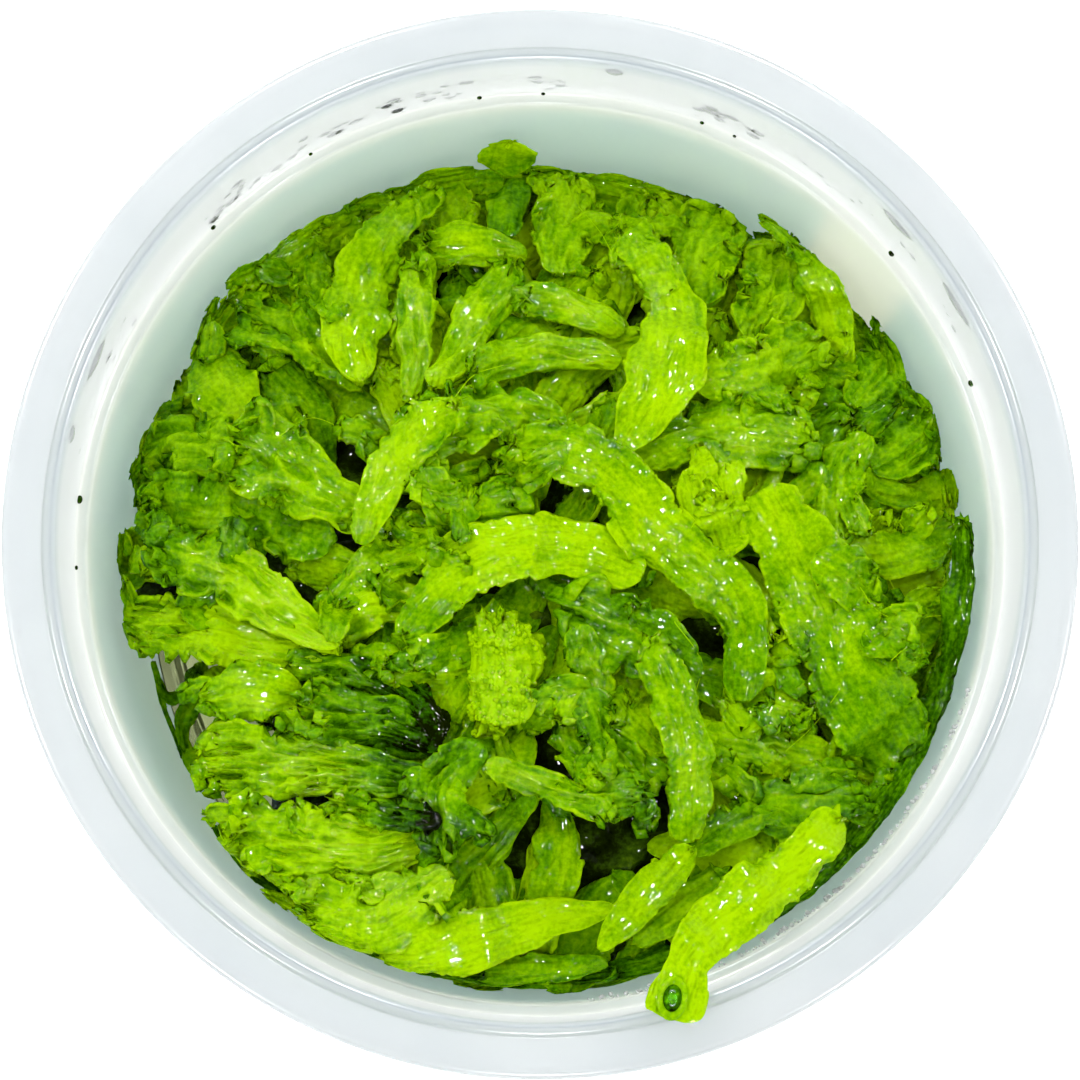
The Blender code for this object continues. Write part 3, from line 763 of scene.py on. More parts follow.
def add_sheet(form, spine, width, shape, tones, seed, roll=0.0, cell=MESH_CELL, inside=True,
              sides=None):
    """Adds one sheet to a bmesh. Spine is in metres. Tones are those of base, middle and tip."""
    length = np.linalg.norm(np.diff(spine, axis=0), axis=1).sum() / MM
    across = 2 * max(max(row[1:]) for row in sides) if sides else width
    rows = max(8, round(length / cell))
    columns = 2 * max(4, round(across / cell / 2))
    points = sheet_points(spine, width, shape, seed, roll, rows, columns, sides)
    top, under, painted_frill_shade, painted_crest_light, span = points
    if inside:
        top, under = kept_inside(top), kept_inside(under)
    along = np.linspace(0, 1, rows + 1)[:, None]
    edge = np.abs(np.linspace(-1, 1, columns + 1))[None, :]
    # Edges are darker. Frills are painted darker, as painted shade in their folds, crests are painted
    # brighter, as painted light, and the thin rim is brightest, as painted rim light.
    lime = np.interp(along, (0.0, 0.5, 1.0), tones)
    lime = lime - 0.1 * edge**2 - 0.16 * painted_frill_shade + 0.11 * np.clip(painted_crest_light, -1, 1)
    lime = lime + 0.26 * fade(edge, 0.84, 1.0)

    made = bmesh.ops.create_grid(form, x_segments=rows, y_segments=columns, size=1.0)["verts"]
    faces = list({face for vertex in made for face in vertex.link_faces})
    pulled = bmesh.ops.extrude_face_region(form, geom=faces, use_keep_orig=True)["geom"]
    underside = [part for part in pulled if isinstance(part, bmesh.types.BMVert)]
    store = form.verts.layers.float["lime"]
    sheet = form.verts.layers.float_vector["sheet"]
    for vertices, places in ((made, top), (underside, under)):
        for vertex in vertices:
            i = round((vertex.co.x + 1) / 2 * rows)
            j = round((vertex.co.y + 1) / 2 * columns)
            vertex.co = places[i, j]
            vertex[store] = lime[i, j]
            vertex[sheet] = (i / rows * length / PLEAT_STRETCH, span[i, j], seed)
    return top


# %% A whole frond
# Smallest and largest values, in mm.
BRANCH_LENGTH = (2.6, 4.6)
BRANCH_WIDTH = (2.4, 3.8)
WART_RADIUS = (0.16, 0.42)
# How many warts there are, and the height above which they stand.
WARTS = 420
WARTS_ABOVE = 40 * MM
# The smallest mesh cell of a side frond, in mm.
BRANCH_CELL = 0.3


def add_warts(form, seed, grid_faces):
    """Covers a warty frond with small round papillae of its own tissue.

    A slab's first faces are those of its grid. The others are made in no fixed order, so they are
    sorted, and the warts are at the same places each time.
    """
    chance = random.Random(seed)
    lime = form.verts.layers.float["lime"]
    sheet = form.verts.layers.float_vector["sheet"]
    centres = [face.calc_center_median() for face in form.faces]
    centres = centres[:grid_faces] + sorted(centres[grid_faces:], key=tuple)
    upper = [centre for centre in centres if centre.z > WARTS_ABOVE]
    places = [chance.choice(upper) for _ in range(WARTS)]
    for place in places:
        radius = chance.uniform(*WART_RADIUS) * MM
        made = bmesh.ops.create_icosphere(form, subdivisions=1, radius=radius)["verts"]
        bmesh.ops.translate(form, verts=made, vec=place)
        tone = chance.uniform(0.75, 1.15)
        for vertex in made:
            vertex[lime] = tone
            vertex[sheet] = vertex.co / MM


def make_frond(name, spine, width, kind, tones, seed, roll=0.0, cell=MESH_CELL, inside=True,
               sides=None, branches=None):
    """A sheet with small frilled side fronds near its tip, as an object."""
    form = bmesh.new()
    form.verts.layers.float.new("lime")
    form.verts.layers.float_vector.new("sheet")
    shape = FORMS[kind]
    top = add_sheet(form, spine, width, shape, tones, seed, roll, cell, inside, sides)
    chance = random.Random(seed)
    rows, columns = top.shape[0] - 1, top.shape[1] - 1
    count = shape["branches"] if branches is None else branches
    for k in range(count):
        share = 1 - (1 - shape["calm"]) * 0.75 * (k / count)
        i = min(rows - 1, round(rows * (share - chance.uniform(0.02, 0.08))))
        towards = 1 if (k + seed) % 2 else -1
        reach = chance.uniform(0.3, 0.75)
        j = round(columns * (1 + towards * reach) / 2)
        ahead = unit(top[i + 1, j] - top[i - 2, j])
        side = unit(top[i, min(columns, j + 2)] - top[i, max(0, j - 2)])
        out = np.cross(ahead, side)
        turn = math.radians(chance.uniform(15, 60)) * towards
        heading = ahead * math.cos(turn) + side * math.sin(turn)
        length = chance.uniform(*BRANCH_LENGTH) * MM
        rise = chance.uniform(-0.1, 0.3)
        steps = np.linspace(-0.35, 1.0, 8)[:, None]
        line = top[i, j] + length * (heading * steps + out * (rise * steps - 0.35 * steps**2))
        tone = tones[2] + chance.uniform(-0.08, 0.06)
        add_sheet(form, line, chance.uniform(*BRANCH_WIDTH), FORMS["tip"], (tone, tone, tone - 0.05),
                  seed + 20 + k, chance.uniform(-25, 25), max(cell, BRANCH_CELL), inside)
    if kind == "warty":
        add_warts(form, seed, rows * columns)
    return shown(name, as_mesh(name, form), young_thallus)


# %% [markdown]
# ## Where each frond lies
# A frond's middle line is given as the eye sees it, in mm across the plane of the flange. Its height
# comes from the solid model: a ray is dropped onto the frond's own solid, and as a lower point lies
# further along the line of sight, the place and the height are worked out together in a few rounds.

# %% Heights from the solids
# Rays start well above everything, and the first round takes a height this far below the flange.
RAY_START = 0.2
FIRST_DEPTH = 10 * MM
ROUNDS = 4
SPINE_POINTS = 40


def solid_tree(node):
    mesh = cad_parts[node].data
    return BVHTree.FromPolygons([v.co for v in mesh.vertices], [p.vertices for p in mesh.polygons])


def seen_at(seen, height):
    """The place, at a height, of a point that the eye sees against the plane of the flange."""
    share = (EYE[2] - height) / (EYE[2] - FLANGE_TOP)
    return EYE[:2] + (seen - EYE[:2]) * share[..., None]


def drop(tree, places):
    """Height of a solid under each place. Where a ray misses, the nearest height along the line."""
    hits = [tree.ray_cast(Vector((x, y, RAY_START)), Vector((0, 0, -1)))[0] for x, y in places]
    found = np.array([np.nan if hit is None else hit.z for hit in hits])
    index = np.arange(len(found))
    good = ~np.isnan(found)
    return np.interp(index, index[good], found[good]) if good.any() else None


def laid_on(tree, line, raise_by=0.0, smoothing=9):
    """A middle line in space, lying on a solid."""
    seen = smooth_line(line, SPINE_POINTS) * MM
    height = np.full(SPINE_POINTS, FLANGE_TOP - FIRST_DEPTH)
    for _ in range(ROUNDS):
        found = drop(tree, seen_at(seen, height))
        if found is None:
            break
        height = found
    kernel = np.ones(smoothing) / smoothing
    height = np.convolve(np.pad(height, smoothing // 2, mode="edge"), kernel, mode="valid")
    height = height + raise_by * MM
    return np.column_stack([seen_at(seen, height), height])


# %% [markdown]
# ## The named fronds
# These are the fronds that the solid model has. Each row of the table has a frond's name, its form,
# its width in mm, its tones of green from 0 to 1 at the base, the middle and the tip, its roll about
# the middle line in degrees, and the points of the middle line. The broad bright fronds also have
# their edges measured in the photograph: the share along the frond, and the distance from the middle
# line to the left and to the right edge in mm, as someone going along the frond sees them.

# %% Table of fronds
FRONDS = [
    ("back_1", "crisp", 7.0, (0.75, 0.85, 0.8), 10, [(-13.0, 26.5), (-16.7, 29.5), (-20.5, 30.2)]),
    ("back_2", "crisp", 7.0, (0.75, 0.85, 0.8), -12, [(-6.5, 25.5), (-8.4, 29.7), (-10.2, 32.6)]),
    ("back_3", "crisp", 7.0, (0.7, 0.8, 0.8), 8, [(1.9, 24.6), (2.3, 29.2), (3.2, 33.2)]),
    ("back_4", "strap", 5.0, (0.45, 0.5, 0.5), 0, [(-3.4, 28.2), (-3.0, 32.6), (-2.6, 36.8)]),
    ("back_5", "crisp", 8.0, (0.7, 0.8, 0.75), -8, [(14.8, 21.8), (15.3, 27.0), (17.0, 31.0)]),
    ("back_6", "crisp", 7.5, (0.7, 0.78, 0.7), 10, [(19.4, 18.5), (21.8, 23.5), (22.6, 27.2)]),
    ("back_7", "blade", 4.8, (0.8, 0.8, 0.7), -18, [(28.4, 17.0), (26.8, 22.2), (24.0, 27.4)]),
    ("left_1", "crisp", 7.0, (0.55, 0.65, 0.6), 12, [(-19.0, 22.0), (-24.0, 25.0), (-28.4, 23.4)]),
    ("left_2", "blade", 6.0, (0.85, 0.75, 0.6), -10, [(-28.2, 8.9), (-30.1, 13.1), (-32.1, 18.4)]),
    ("left_3", "crisp", 7.5, (0.6, 0.7, 0.6), 8, [(-27.0, 8.0), (-32.4, 8.6), (-37.0, 7.4)]),
    ("left_4", "crisp", 8.5, (0.5, 0.6, 0.55), -8, [(-19.4, -0.4), (-27.8, 1.5), (-36.6, 2.6)]),
    ("left_5", "fan", 9.5, (0.8, 0.75, 0.62), 8, [(-15.4, 1.4), (-22.0, 5.2), (-28.2, 8.9)]),
    ("left_6", "fan", 6.4, (1.05, 1.05, 0.65), 4, [(-18.6, -10.9), (-24.9, -10.4), (-30.3, -8.9),
     (-38.5, -8.0)]),
    ("left_7", "fan", 6.4, (1.0, 0.95, 0.5), -6, [(-18.6, -10.2), (-23.4, -7.5), (-28.4, -3.8),
     (-35.6, -1.2)]),
    ("left_8", "crisp", 5.0, (0.7, 0.75, 0.6), 10, [(-16.3, 14.3), (-20.0, 17.0), (-23.3, 19.4),
     (-27.4, 21.4)]),
    ("front_left_1", "blade", 6.5, (0.75, 0.8, 0.7), -8, [(-21.6, -15.6), (-26.4, -14.3),
     (-31.0, -15.2)]),
    ("front_left_2", "stems", 6.5, (0.0, 0.4, 0.65), 6, [(-8.8, -18.2), (-15.7, -17.0),
     (-22.0, -15.6)]),
    ("front_left_3", "fan", 7.5, (0.0, 0.85, 0.75), 5, [(-8.6, -23.2), (-18.5, -21.4), (-31.0, -20.6)]),
    ("front_left_4", "fan", 9.0, (0.85, 1.0, 0.75), -6, [(-7.8, -27.0), (-16.0, -29.2),
     (-28.4, -27.8)]),
    ("front_left_5", "crisp", 8.0, (0.85, 0.9, 0.75), 8, [(-8.4, -31.2), (-15.2, -35.4),
     (-21.8, -34.4)]),
    ("right_1", "crisp", 7.0, (0.55, 0.62, 0.55), -8, [(29.4, 12.0), (32.2, 15.6), (33.4, 19.4)]),
    ("right_2", "crisp", 7.5, (0.55, 0.62, 0.55), 10, [(30.8, 6.4), (35.0, 9.4), (38.2, 12.0)]),
    ("right_3", "blade", 5.6, (0.8, 0.75, 0.6), 0, [(27.4, -1.9), (33.3, -1.5), (39.2, 0.9)]),
    ("right_4", "blade", 6.6, (0.6, 0.65, 0.6), 10, [(28.0, -13.8), (32.4, -9.8), (37.6, -5.6)]),
    ("right_5", "strap", 4.6, (0.5, 0.55, 0.5), -20, [(34.8, -16.8), (38.2, -11.0), (40.6, -4.6)]),
    ("right_6", "ribbon", 7.0, (0.5, 0.55, 0.5), 8, [(19.4, -34.2), (26.9, -30.0), (33.6, -24.0)]),
    ("right_7", "crisp", 5.0, (0.5, 0.55, 0.5), -6, [(13.5, -29.0), (21.3, -24.8), (29.5, -24.4)]),
    ("right_8", "crisp", 6.0, (0.7, 0.75, 0.7), 12, [(30.2, 9.6), (27.6, 5.4), (27.2, -0.4)]),
    ("right_9", "crisp", 7.5, (0.7, 0.76, 0.7), -10, [(7.6, 7.4), (15.7, 9.9), (25.0, 8.9)]),
    ("right_10", "crisp", 7.5, (0.75, 0.8, 0.7), 8, [(14.4, 14.6), (20.4, 15.8), (25.6, 18.0)]),
    ("centre_1", "strap", 4.6, (0.75, 0.8, 0.7), 0, [(-1.2, 26.3), (-6.0, 27.4), (-10.8, 27.2)]),
    ("centre_2", "blade", 5.6, (0.9, 0.82, 0.65), 10, [(-16.8, 14.8), (-17.5, 19.1), (-16.6, 23.5),
     (-14.6, 27.6), (-12.0, 31.5)]),
    ("centre_3", "strap", 3.7, (0.8, 0.85, 0.7), 0, [(-12.0, 12.9), (-11.7, 16.7), (-11.7, 21.6),
     (-11.5, 25.5)]),
    ("centre_4", "strap", 5.0, (0.8, 0.8, 0.6), -8, [(-10.0, 14.0), (-7.4, 17.9), (-4.9, 22.1),
     (-2.8, 25.4)]),
    ("centre_5", "strap", 3.9, (0.85, 0.85, 0.7), 6, [(7.8, 19.1), (4.9, 20.8), (1.4, 22.0),
     (-1.6, 22.3)]),
    ("centre_6", "strap", 4.2, (0.8, 0.8, 0.6), 0, [(7.6, 16.6), (3.1, 17.1), (-1.8, 17.1),
     (-6.2, 15.4)]),
    ("centre_7", "crisp", 7.5, (0.6, 0.7, 0.65), 8, [(2.4, 9.8), (-4.6, 11.7), (-12.6, 9.4)]),
    ("centre_8", "ribbon", 3.8, (0.75, 0.85, 0.75), -10, [(-16.7, -0.8), (-15.3, 3.3), (-13.4, 7.5),
     (-10.2, 10.7), (-7.9, 12.1)]),
    ("centre_9", "crisp", 6.0, (0.6, 0.68, 0.6), 10, [(-10.8, 6.2), (-8.0, 2.4), (-1.6, 2.2)]),
    ("centre_10", "crisp", 8.5, (0.42, 0.5, 0.5), -8, [(14.6, -13.4), (9.3, -9.8), (2.6, -6.6)]),
    ("centre_11", "warty", 8.0, (0.9, 1.0, 0.9), 0, [(-4.6, -17.4), (-3.3, -12.3), (-4.2, -7.6)]),
    ("front_1", "blade", 4.6, (0.55, 0.6, 0.55), 0, [(6.2, -39.4), (-3.7, -40.8), (-11.6, -41.0)]),
    ("front_2", "strap", 4.0, (0.7, 0.7, 0.65), 0, [(8.8, -37.6), (13.0, -34.4), (17.0, -31.6)]),
    ("front_3", "crisp", 5.6, (0.5, 0.58, 0.5), 10, [(-5.4, -19.2), (-9.3, -23.2), (-9.0, -29.2)]),
    ("front_4", "crisp", 5.6, (0.5, 0.58, 0.55), -8, [(4.4, -14.2), (6.0, -18.9), (9.2, -24.4)]),
    ("front_5", "crisp", 5.0, (0.8, 0.75, 0.45), 0, [(-5.0, -21.1), (-0.5, -22.9), (4.5, -24.1),
     (9.4, -23.6)]),
    ("front_6", "ribbon", 5.0, (0.7, 0.72, 0.6), 8, [(13.6, -28.4), (13.8, -21.3), (13.0, -17.1),
     (10.4, -9.8)]),
    ("centre_12", "broad", 8.4, (0.84, 0.88, 0.7), -4, [(7.1, 7.4), (9.3, 11.1), (11.5, 15.6),
     (12.2, 19.6), (11.8, 22.5), (10.6, 26.3), (7.3, 29.0)]),
    ("centre_13", "broad", 6.4, (0.85, 0.95, 0.6), 6, [(9.6, -3.4), (4.4, -1.4), (-1.4, -1.0),
     (-6.4, -2.2), (-9.6, -5.6), (-12.7, -9.4)]),
    ("centre_14", "ribbon", 6.4, (0.5, 0.85, 0.7), -6, [(18.7, -15.3), (18.9, -8.8), (17.2, -5.1),
     (13.8, -2.3), (10.4, 0.5), (8.9, 3.2), (6.3, 6.2), (1.9, 8.2), (-2.3, 8.6)]),
    ("centre_15", "puckered", 9.6, (0.82, 0.66, 0.5), 5, [(20.4, 4.2), (23.6, -1.3), (26.4, -6.9),
     (28.7, -12.4), (32.0, -18.0), (34.6, -21.5)]),
    ("front_7", "broad", 6.6, (0.85, 0.95, 0.9), 0, [(6.8, -34.4), (0.0, -35.4), (-7.4, -37.7),
     (-14.6, -40.2)]),
    ("front_8", "broad", 4.2, (0.8, 0.85, 0.8), 0, [(5.4, -38.2), (9.3, -33.6), (13.9, -29.1)]),
    ("front_9", "broad", 6.4, (0.95, 0.95, 0.95), 0, [(12.2, -44.6), (13.9, -38.6), (18.5, -34.2),
     (23.1, -30.5), (27.6, -26.0)]),
]

# %% Measured edges
EDGES = {
    "left_2": [(0, 2.6, 2.6), (0.4, 3.0, 3.0), (0.8, 2.0, 2.0), (1, 1.2, 1.2)],
    "left_6": [(0, 0.9, 0.9), (0.3, 2.6, 2.3), (0.6, 3.3, 3.3), (0.85, 3.3, 3.1), (1, 2.6, 2.6)],
    "left_7": [(0, 0.9, 0.9), (0.3, 2.3, 2.5), (0.6, 3.1, 3.4), (0.85, 3.3, 3.4), (1, 2.6, 2.6)],
    "centre_2": [(0, 1.4, 1.4), (0.3, 3.4, 3.6), (0.55, 3.2, 3.3), (0.8, 2.6, 2.2), (1, 1.2, 1.2)],
    "centre_8": [(0, 1.2, 1.2), (0.3, 2.0, 2.0), (0.6, 2.9, 2.9), (0.85, 2.6, 2.6), (1, 2.0, 2.0)],
    "front_5": [(0, 1.1, 1.1), (0.35, 1.4, 1.4), (0.6, 1.6, 1.7), (0.85, 2.7, 2.7), (1, 2.2, 2.2)],
    "centre_12": [(0, 0.6, 0.6), (0.17, 2.4, 2.6), (0.37, 4.0, 4.3), (0.53, 3.3, 3.5), (0.62, 1.8, 3.8),
                  (0.66, 1.5, 2.6), (0.7, 2.4, 2.2), (0.75, 1.9, 1.9), (0.78, 0.8, 1.6),
                  (0.83, 1.7, 1.4), (0.91, 1.0, 1.1), (1, 0.9, 0.9)],
    "centre_13": [(0, 2.2, 2.0), (0.25, 2.8, 3.0), (0.48, 3.2, 3.4), (0.66, 3.5, 3.4), (0.83, 2.5, 2.3),
                  (1, 1.5, 1.5)],
    "centre_14": [(0, 1.7, 1.7), (0.12, 2.2, 2.2), (0.3, 2.7, 2.9), (0.45, 3.1, 3.2), (0.6, 3.5, 3.6),
                  (0.75, 2.6, 2.7), (0.88, 3.1, 3.3), (1, 2.0, 2.0)],
    "centre_15": [(0, 3.0, 3.0), (0.2, 4.2, 4.0), (0.4, 5.0, 4.4), (0.6, 4.8, 4.4), (0.8, 5.0, 4.8),
                  (1, 3.4, 3.4)],
    "front_7": [(0, 0.8, 0.8), (0.3, 2.3, 2.0), (0.62, 3.3, 3.1), (0.9, 2.4, 2.4), (1, 1.6, 1.6)],
    "front_9": [(0, 2.9, 2.9), (0.1, 2.9, 2.9), (0.22, 1.9, 1.9), (0.4, 2.9, 2.9), (0.62, 3.3, 3.3),
                (0.82, 2.2, 2.2), (1, 2.1, 2.1)],
}
print("fronds with measured edges:", len(EDGES))

# %% Named fronds
# This one reaches over the rim, so it isn't kept inside the wall.
RIM_FROND = "frond_front_9"
# How far apart the seeds of two fronds are.
SEED_STEP = 10

for seed, (name, form, width, tones, roll, line) in enumerate(FRONDS):
    node = f"frond_{name}"
    spine = laid_on(solid_tree(node), line)
    piece = make_frond(f"thallus_{name}", spine, width, form, tones, SEED_STEP * seed, roll,
                       inside=node != RIM_FROND, sides=EDGES.get(name))
    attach(piece, "root")
    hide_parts(node)
print("named fronds:", len(FRONDS))

# %% [markdown]
# ## The older growth under them
# Below the fronds lies a dense, dark tangle. The solid's own heap is made finer, sunk a little and
# roughened, so that no light gets through between the small fronds that stand on it.

# %% Heap
HEAP_SINK = 3.2 * MM
HEAP_LUMP = 0.8 * MM
HEAP_FADE = 8 * MM
HEAP_CUTS = 3


def make_heap():
    """The solid's heap, finer, lumpy, a little narrower, and sunk towards its foot, which stays."""
    form = bmesh.new()
    form.from_mesh(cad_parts["mat"].data)
    bmesh.ops.remove_doubles(form, verts=form.verts[:], dist=0.01 * MM)
    bmesh.ops.subdivide_edges(form, edges=form.edges[:], cuts=HEAP_CUTS, use_grid_fill=True)
    mesh = as_mesh("old_growth_heap", form)
    places = np.empty(len(mesh.vertices) * 3)
    mesh.vertices.foreach_get("co", places)
    places = places.reshape(-1, 3)
    base = places[:, 2].min()
    share = fade(places[:, 2], base, base + HEAP_FADE)
    places[:, 2] -= share * HEAP_SINK
    x, y, z = places.T / MM
    lumps = ripple(3, 5.0, x, y, z) + 0.6 * ripple(4, 2.0, x, y, z)
    places[:, 2] += share * HEAP_LUMP * lumps
    places[:, :2] *= (0.97 + 0.012 * lumps)[:, None]
    mesh.vertices.foreach_set("co", places.reshape(-1))
    mesh.attributes.new("lime", "FLOAT", "POINT").data.foreach_set("value", 0.25 + 0.2 * lumps)
    return shown("old_growth_heap", mesh, old_thallus)


heap = make_heap()
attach(heap, "root")
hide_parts("mat")
print("heap faces:", len(heap.data.polygons))

# %% [markdown]
# ## Fronds placed one by one
# These lie on top of the others. The solid model leaves them out, because each lies flat on a frond
# that it does have. A ray dropped on all the solids together gives what they lie on. A row is like a
# named frond's, with how far the frond is raised, in mm, before its middle line.

# %% All the growth as one tree
def merged_tree(nodes):
    """One search tree for several solids."""
    corners, faces = [], []
    for node in nodes:
        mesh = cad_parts[node].data
        faces += [[len(corners) + k for k in face.vertices] for face in mesh.polygons]
        corners += [v.co for v in mesh.vertices]
    return BVHTree.FromPolygons(corners, faces)


frond_nodes = [f"frond_{row[0]}" for row in FRONDS]
growth_tree = merged_tree(["mat", *frond_nodes])
print("solids of growth:", 1 + len(frond_nodes))

# %% Table of fronds on top
TOP_FRONDS = [
    ("star", "star", 6.4, (0.85, 0.95, 1.05), 0, 1.0, [(17.2, -1.4), (16.5, 1.2), (15.9, 3.4),
     (15.6, 4.6)]),
    ("ring", "strap", 3.2, (0.7, 0.75, 0.7), 0, 0.6, [(29.0, 6.8), (32.0, 4.2), (36.0, 4.0),
     (38.6, 6.0)]),
    ("far", "fan", 6.0, (0.7, 0.8, 0.7), 0, 0.4, [(7.4, 25.5), (9.3, 29.0), (10.8, 32.2)]),
    ("near_right", "crisp", 5.2, (0.75, 0.75, 0.65), 0, 0.6, [(13.4, -18.2), (19.0, -19.4),
     (25.0, -21.2), (31.2, -23.4)]),
    ("near_left", "strap", 4.0, (0.5, 0.6, 0.55), 10, 0.4, [(-0.9, -23.8), (-4.8, -28.6),
     (-10.2, -34.0)]),
    ("between", "crisp", 4.6, (0.8, 0.75, 0.7), 0, 0.6, [(-19.4, -9.8), (-18.2, -5.4), (-14.4, -2.2),
     (-9.8, -1.0)]),
    ("far_left", "crisp", 5.0, (0.6, 0.7, 0.6), 8, 0.4, [(-18.5, 20.4), (-21.6, 24.4), (-24.8, 27.4)]),
    ("middle", "crisp", 5.0, (0.6, 0.7, 0.65), 0, 0.5, [(2.6, 8.2), (-2.4, 5.6), (-7.6, 4.6),
     (-11.4, 5.4)]),
    ("over_heart", "crisp", 5.4, (0.55, 0.6, 0.6), 8, 0.5, [(3.4, -8.4), (4.6, -13.0), (3.0, -17.6),
     (5.6, -22.0)]),
    ("pale_blade", "broad", 7.0, (0.9, 0.8, 0.6), 0, 0.8, [(-26.6, 10.4), (-29.2, 13.8),
     (-31.9, 17.6)]),
    ("yellow_lobe", "broad", 3.6, (0.95, 1.0, 1.0), 0, 0.6, [(25.6, 13.6), (27.0, 16.0), (28.6, 18.8)]),
    ("heart_tip", "ribbon", 4.6, (0.85, 0.8, 0.72), 0, 0.8, [(11.6, 22.6), (10.2, 26.0), (8.4, 28.2),
     (6.2, 29.4)]),
    ("stems_1", "stems", 3.6, (-0.05, 0.25, 0.6), 0, 0.4, [(-8.8, -18.4), (-12.4, -14.6),
     (-17.6, -12.4), (-23.0, -12.0)]),
    ("stems_2", "stems", 3.0, (-0.1, 0.3, 0.65), 0, 0.4, [(-9.2, -19.8), (-13.8, -18.0),
     (-20.0, -17.6)]),
    ("stems_3", "stems", 2.6, (-0.1, 0.35, 0.75), 0, 0.5, [(-9.0, -26.4), (-13.4, -26.0),
     (-18.6, -24.8)]),
    ("lobe_1", "puckered", 5.8, (0.66, 0.68, 0.62), 0, 0.6, [(25.4, -1.8), (28.2, -3.6), (30.6, -6.0)]),
    ("lobe_2", "puckered", 5.4, (0.6, 0.64, 0.6), 0, 0.6, [(27.4, -6.8), (30.8, -8.4), (34.0, -10.4)]),
    ("curl", "ribbon", 3.0, (0.8, 0.8, 0.75), 0, 0.8, [(20.6, -12.8), (21.4, -15.6), (19.2, -17.6),
     (17.2, -15.4)]),
    ("right_edge", "crisp", 5.6, (0.6, 0.65, 0.6), 0, 0.4, [(24.8, 14.6), (28.6, 17.6), (31.6, 21.4)]),
    ("star_point_1", "broad", 3.0, (0.9, 1.0, 1.05), 0, 1.3, [(16.0, 2.2), (15.3, 5.0), (14.6, 8.1)]),
    ("star_point_2", "broad", 2.8, (0.9, 1.0, 1.05), 0, 1.3, [(16.6, 2.4), (17.5, 4.8), (18.4, 7.0)]),
    ("star_point_3", "broad", 2.8, (0.9, 1.0, 1.0), 0, 1.2, [(16.4, 2.4), (14.4, 3.2), (12.5, 4.0)]),
]

# %% Fronds on top
FIRST_TOP_SEED = 60
top_rows = enumerate(TOP_FRONDS, start=FIRST_TOP_SEED)
for seed, (name, form, width, tones, roll, raise_by, line) in top_rows:
    spine = laid_on(growth_tree, line, raise_by)
    piece = make_frond(f"thallus_{name}", spine, width, form, tones, SEED_STEP * seed, roll)
    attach(piece, "root")
print("fronds on top:", len(TOP_FRONDS))

# %% [markdown]
# ## Ribbons along the wall
# On the near side the growth is packed up to the ledge, and ribbons lie flat against the plastic.
# They are painted dark olive, as painted shade under the fronds that lean over them. At the far side
# it stands lower, and its outermost fronds lean on the wall. In the gap at the lower left a few hang
# down to the gel. These are fronds of the same forms, whose middle lines follow the wall, and they
# are joined to one piece.

# %% Lines along the wall
RIBBON_RISE = 0.8


def along_wall(number, degrees, span, height, waves, inset):
    """A middle line along the wall, about an angle. It rises and falls a little round a height."""
    turns = np.radians(degrees + span * np.linspace(-0.5, 0.5, SPINE_POINTS))
    level = (height + RIBBON_RISE * np.sin(waves * turns + number)) * MM
    reach = wall_radius(level) - inset * MM
    return np.column_stack([reach * np.cos(turns), reach * np.sin(turns), level])


def joined(name, pieces):
    """Many objects made one."""
    with bpy.context.temp_override(active_object=pieces[0], selected_editable_objects=pieces):
        bpy.ops.object.join()
    pieces[0].name = name
    pieces[0].data.name = name
    return pieces[0]


# %% Where the ribbons are
RIBBON_HEIGHT = 41.6
RIBBON_SPAN_DEG = 24.0
RIBBON_DEGREES = [-128, -110, -92, -74, -56, -40, -24, -8]
# Those at the far side: degrees about the axis, height in mm and form.
FAR_SPAN_DEG = 17.0
FAR_RIBBONS = [
    (136, 34.0, "crisp"),
    (126, 33.6, "puckered"),
    (115, 32.4, "crisp"),
    (104, 31.6, "puckered"),
    (90, 29.5, "crisp"),
    (76, 29.0, "puckered"),
]
# Those in the gap: a line as the eye sees it, a height and a width, all in mm, and a tone.
HANGING = [
    ([(-37.0, -12.0), (-36.1, -15.2), (-35.4, -18.0), (-34.7, -21.2)], 25.0, 1.8, 0.45),
    ([(-36.3, -11.8), (-35.2, -14.8), (-33.4, -14.9), (-31.9, -13.0)], 27.0, 1.5, 0.42),
    ([(-31.2, -11.8), (-31.9, -15.2), (-33.2, -17.6), (-33.4, -20.9)], 26.0, 2.2, 0.55),
    ([(-30.6, -12.4), (-29.2, -14.2), (-27.8, -15.8)], 28.0, 3.6, 0.9),
    ([(-27.4, -13.6), (-25.6, -15.4), (-24.6, -17.4)], 29.0, 3.8, 0.75),
    ([(-33.8, -22.2), (-31.0, -20.6), (-28.6, -19.4)], 28.0, 3.4, 0.6),
]
# The knob at the far side stands up against the wall, so its line is given in space.
KNOB = [(-3.3, 38.2, 34.2), (-3.2, 39.8, 36.8), (-3.0, 40.9, 39.4)]

# %% Ribbons along the wall
KNOB_SEED = 690
RIBBON_SEED = 700
FAR_RIBBON_SEED = 760
HANGING_SEED = 800

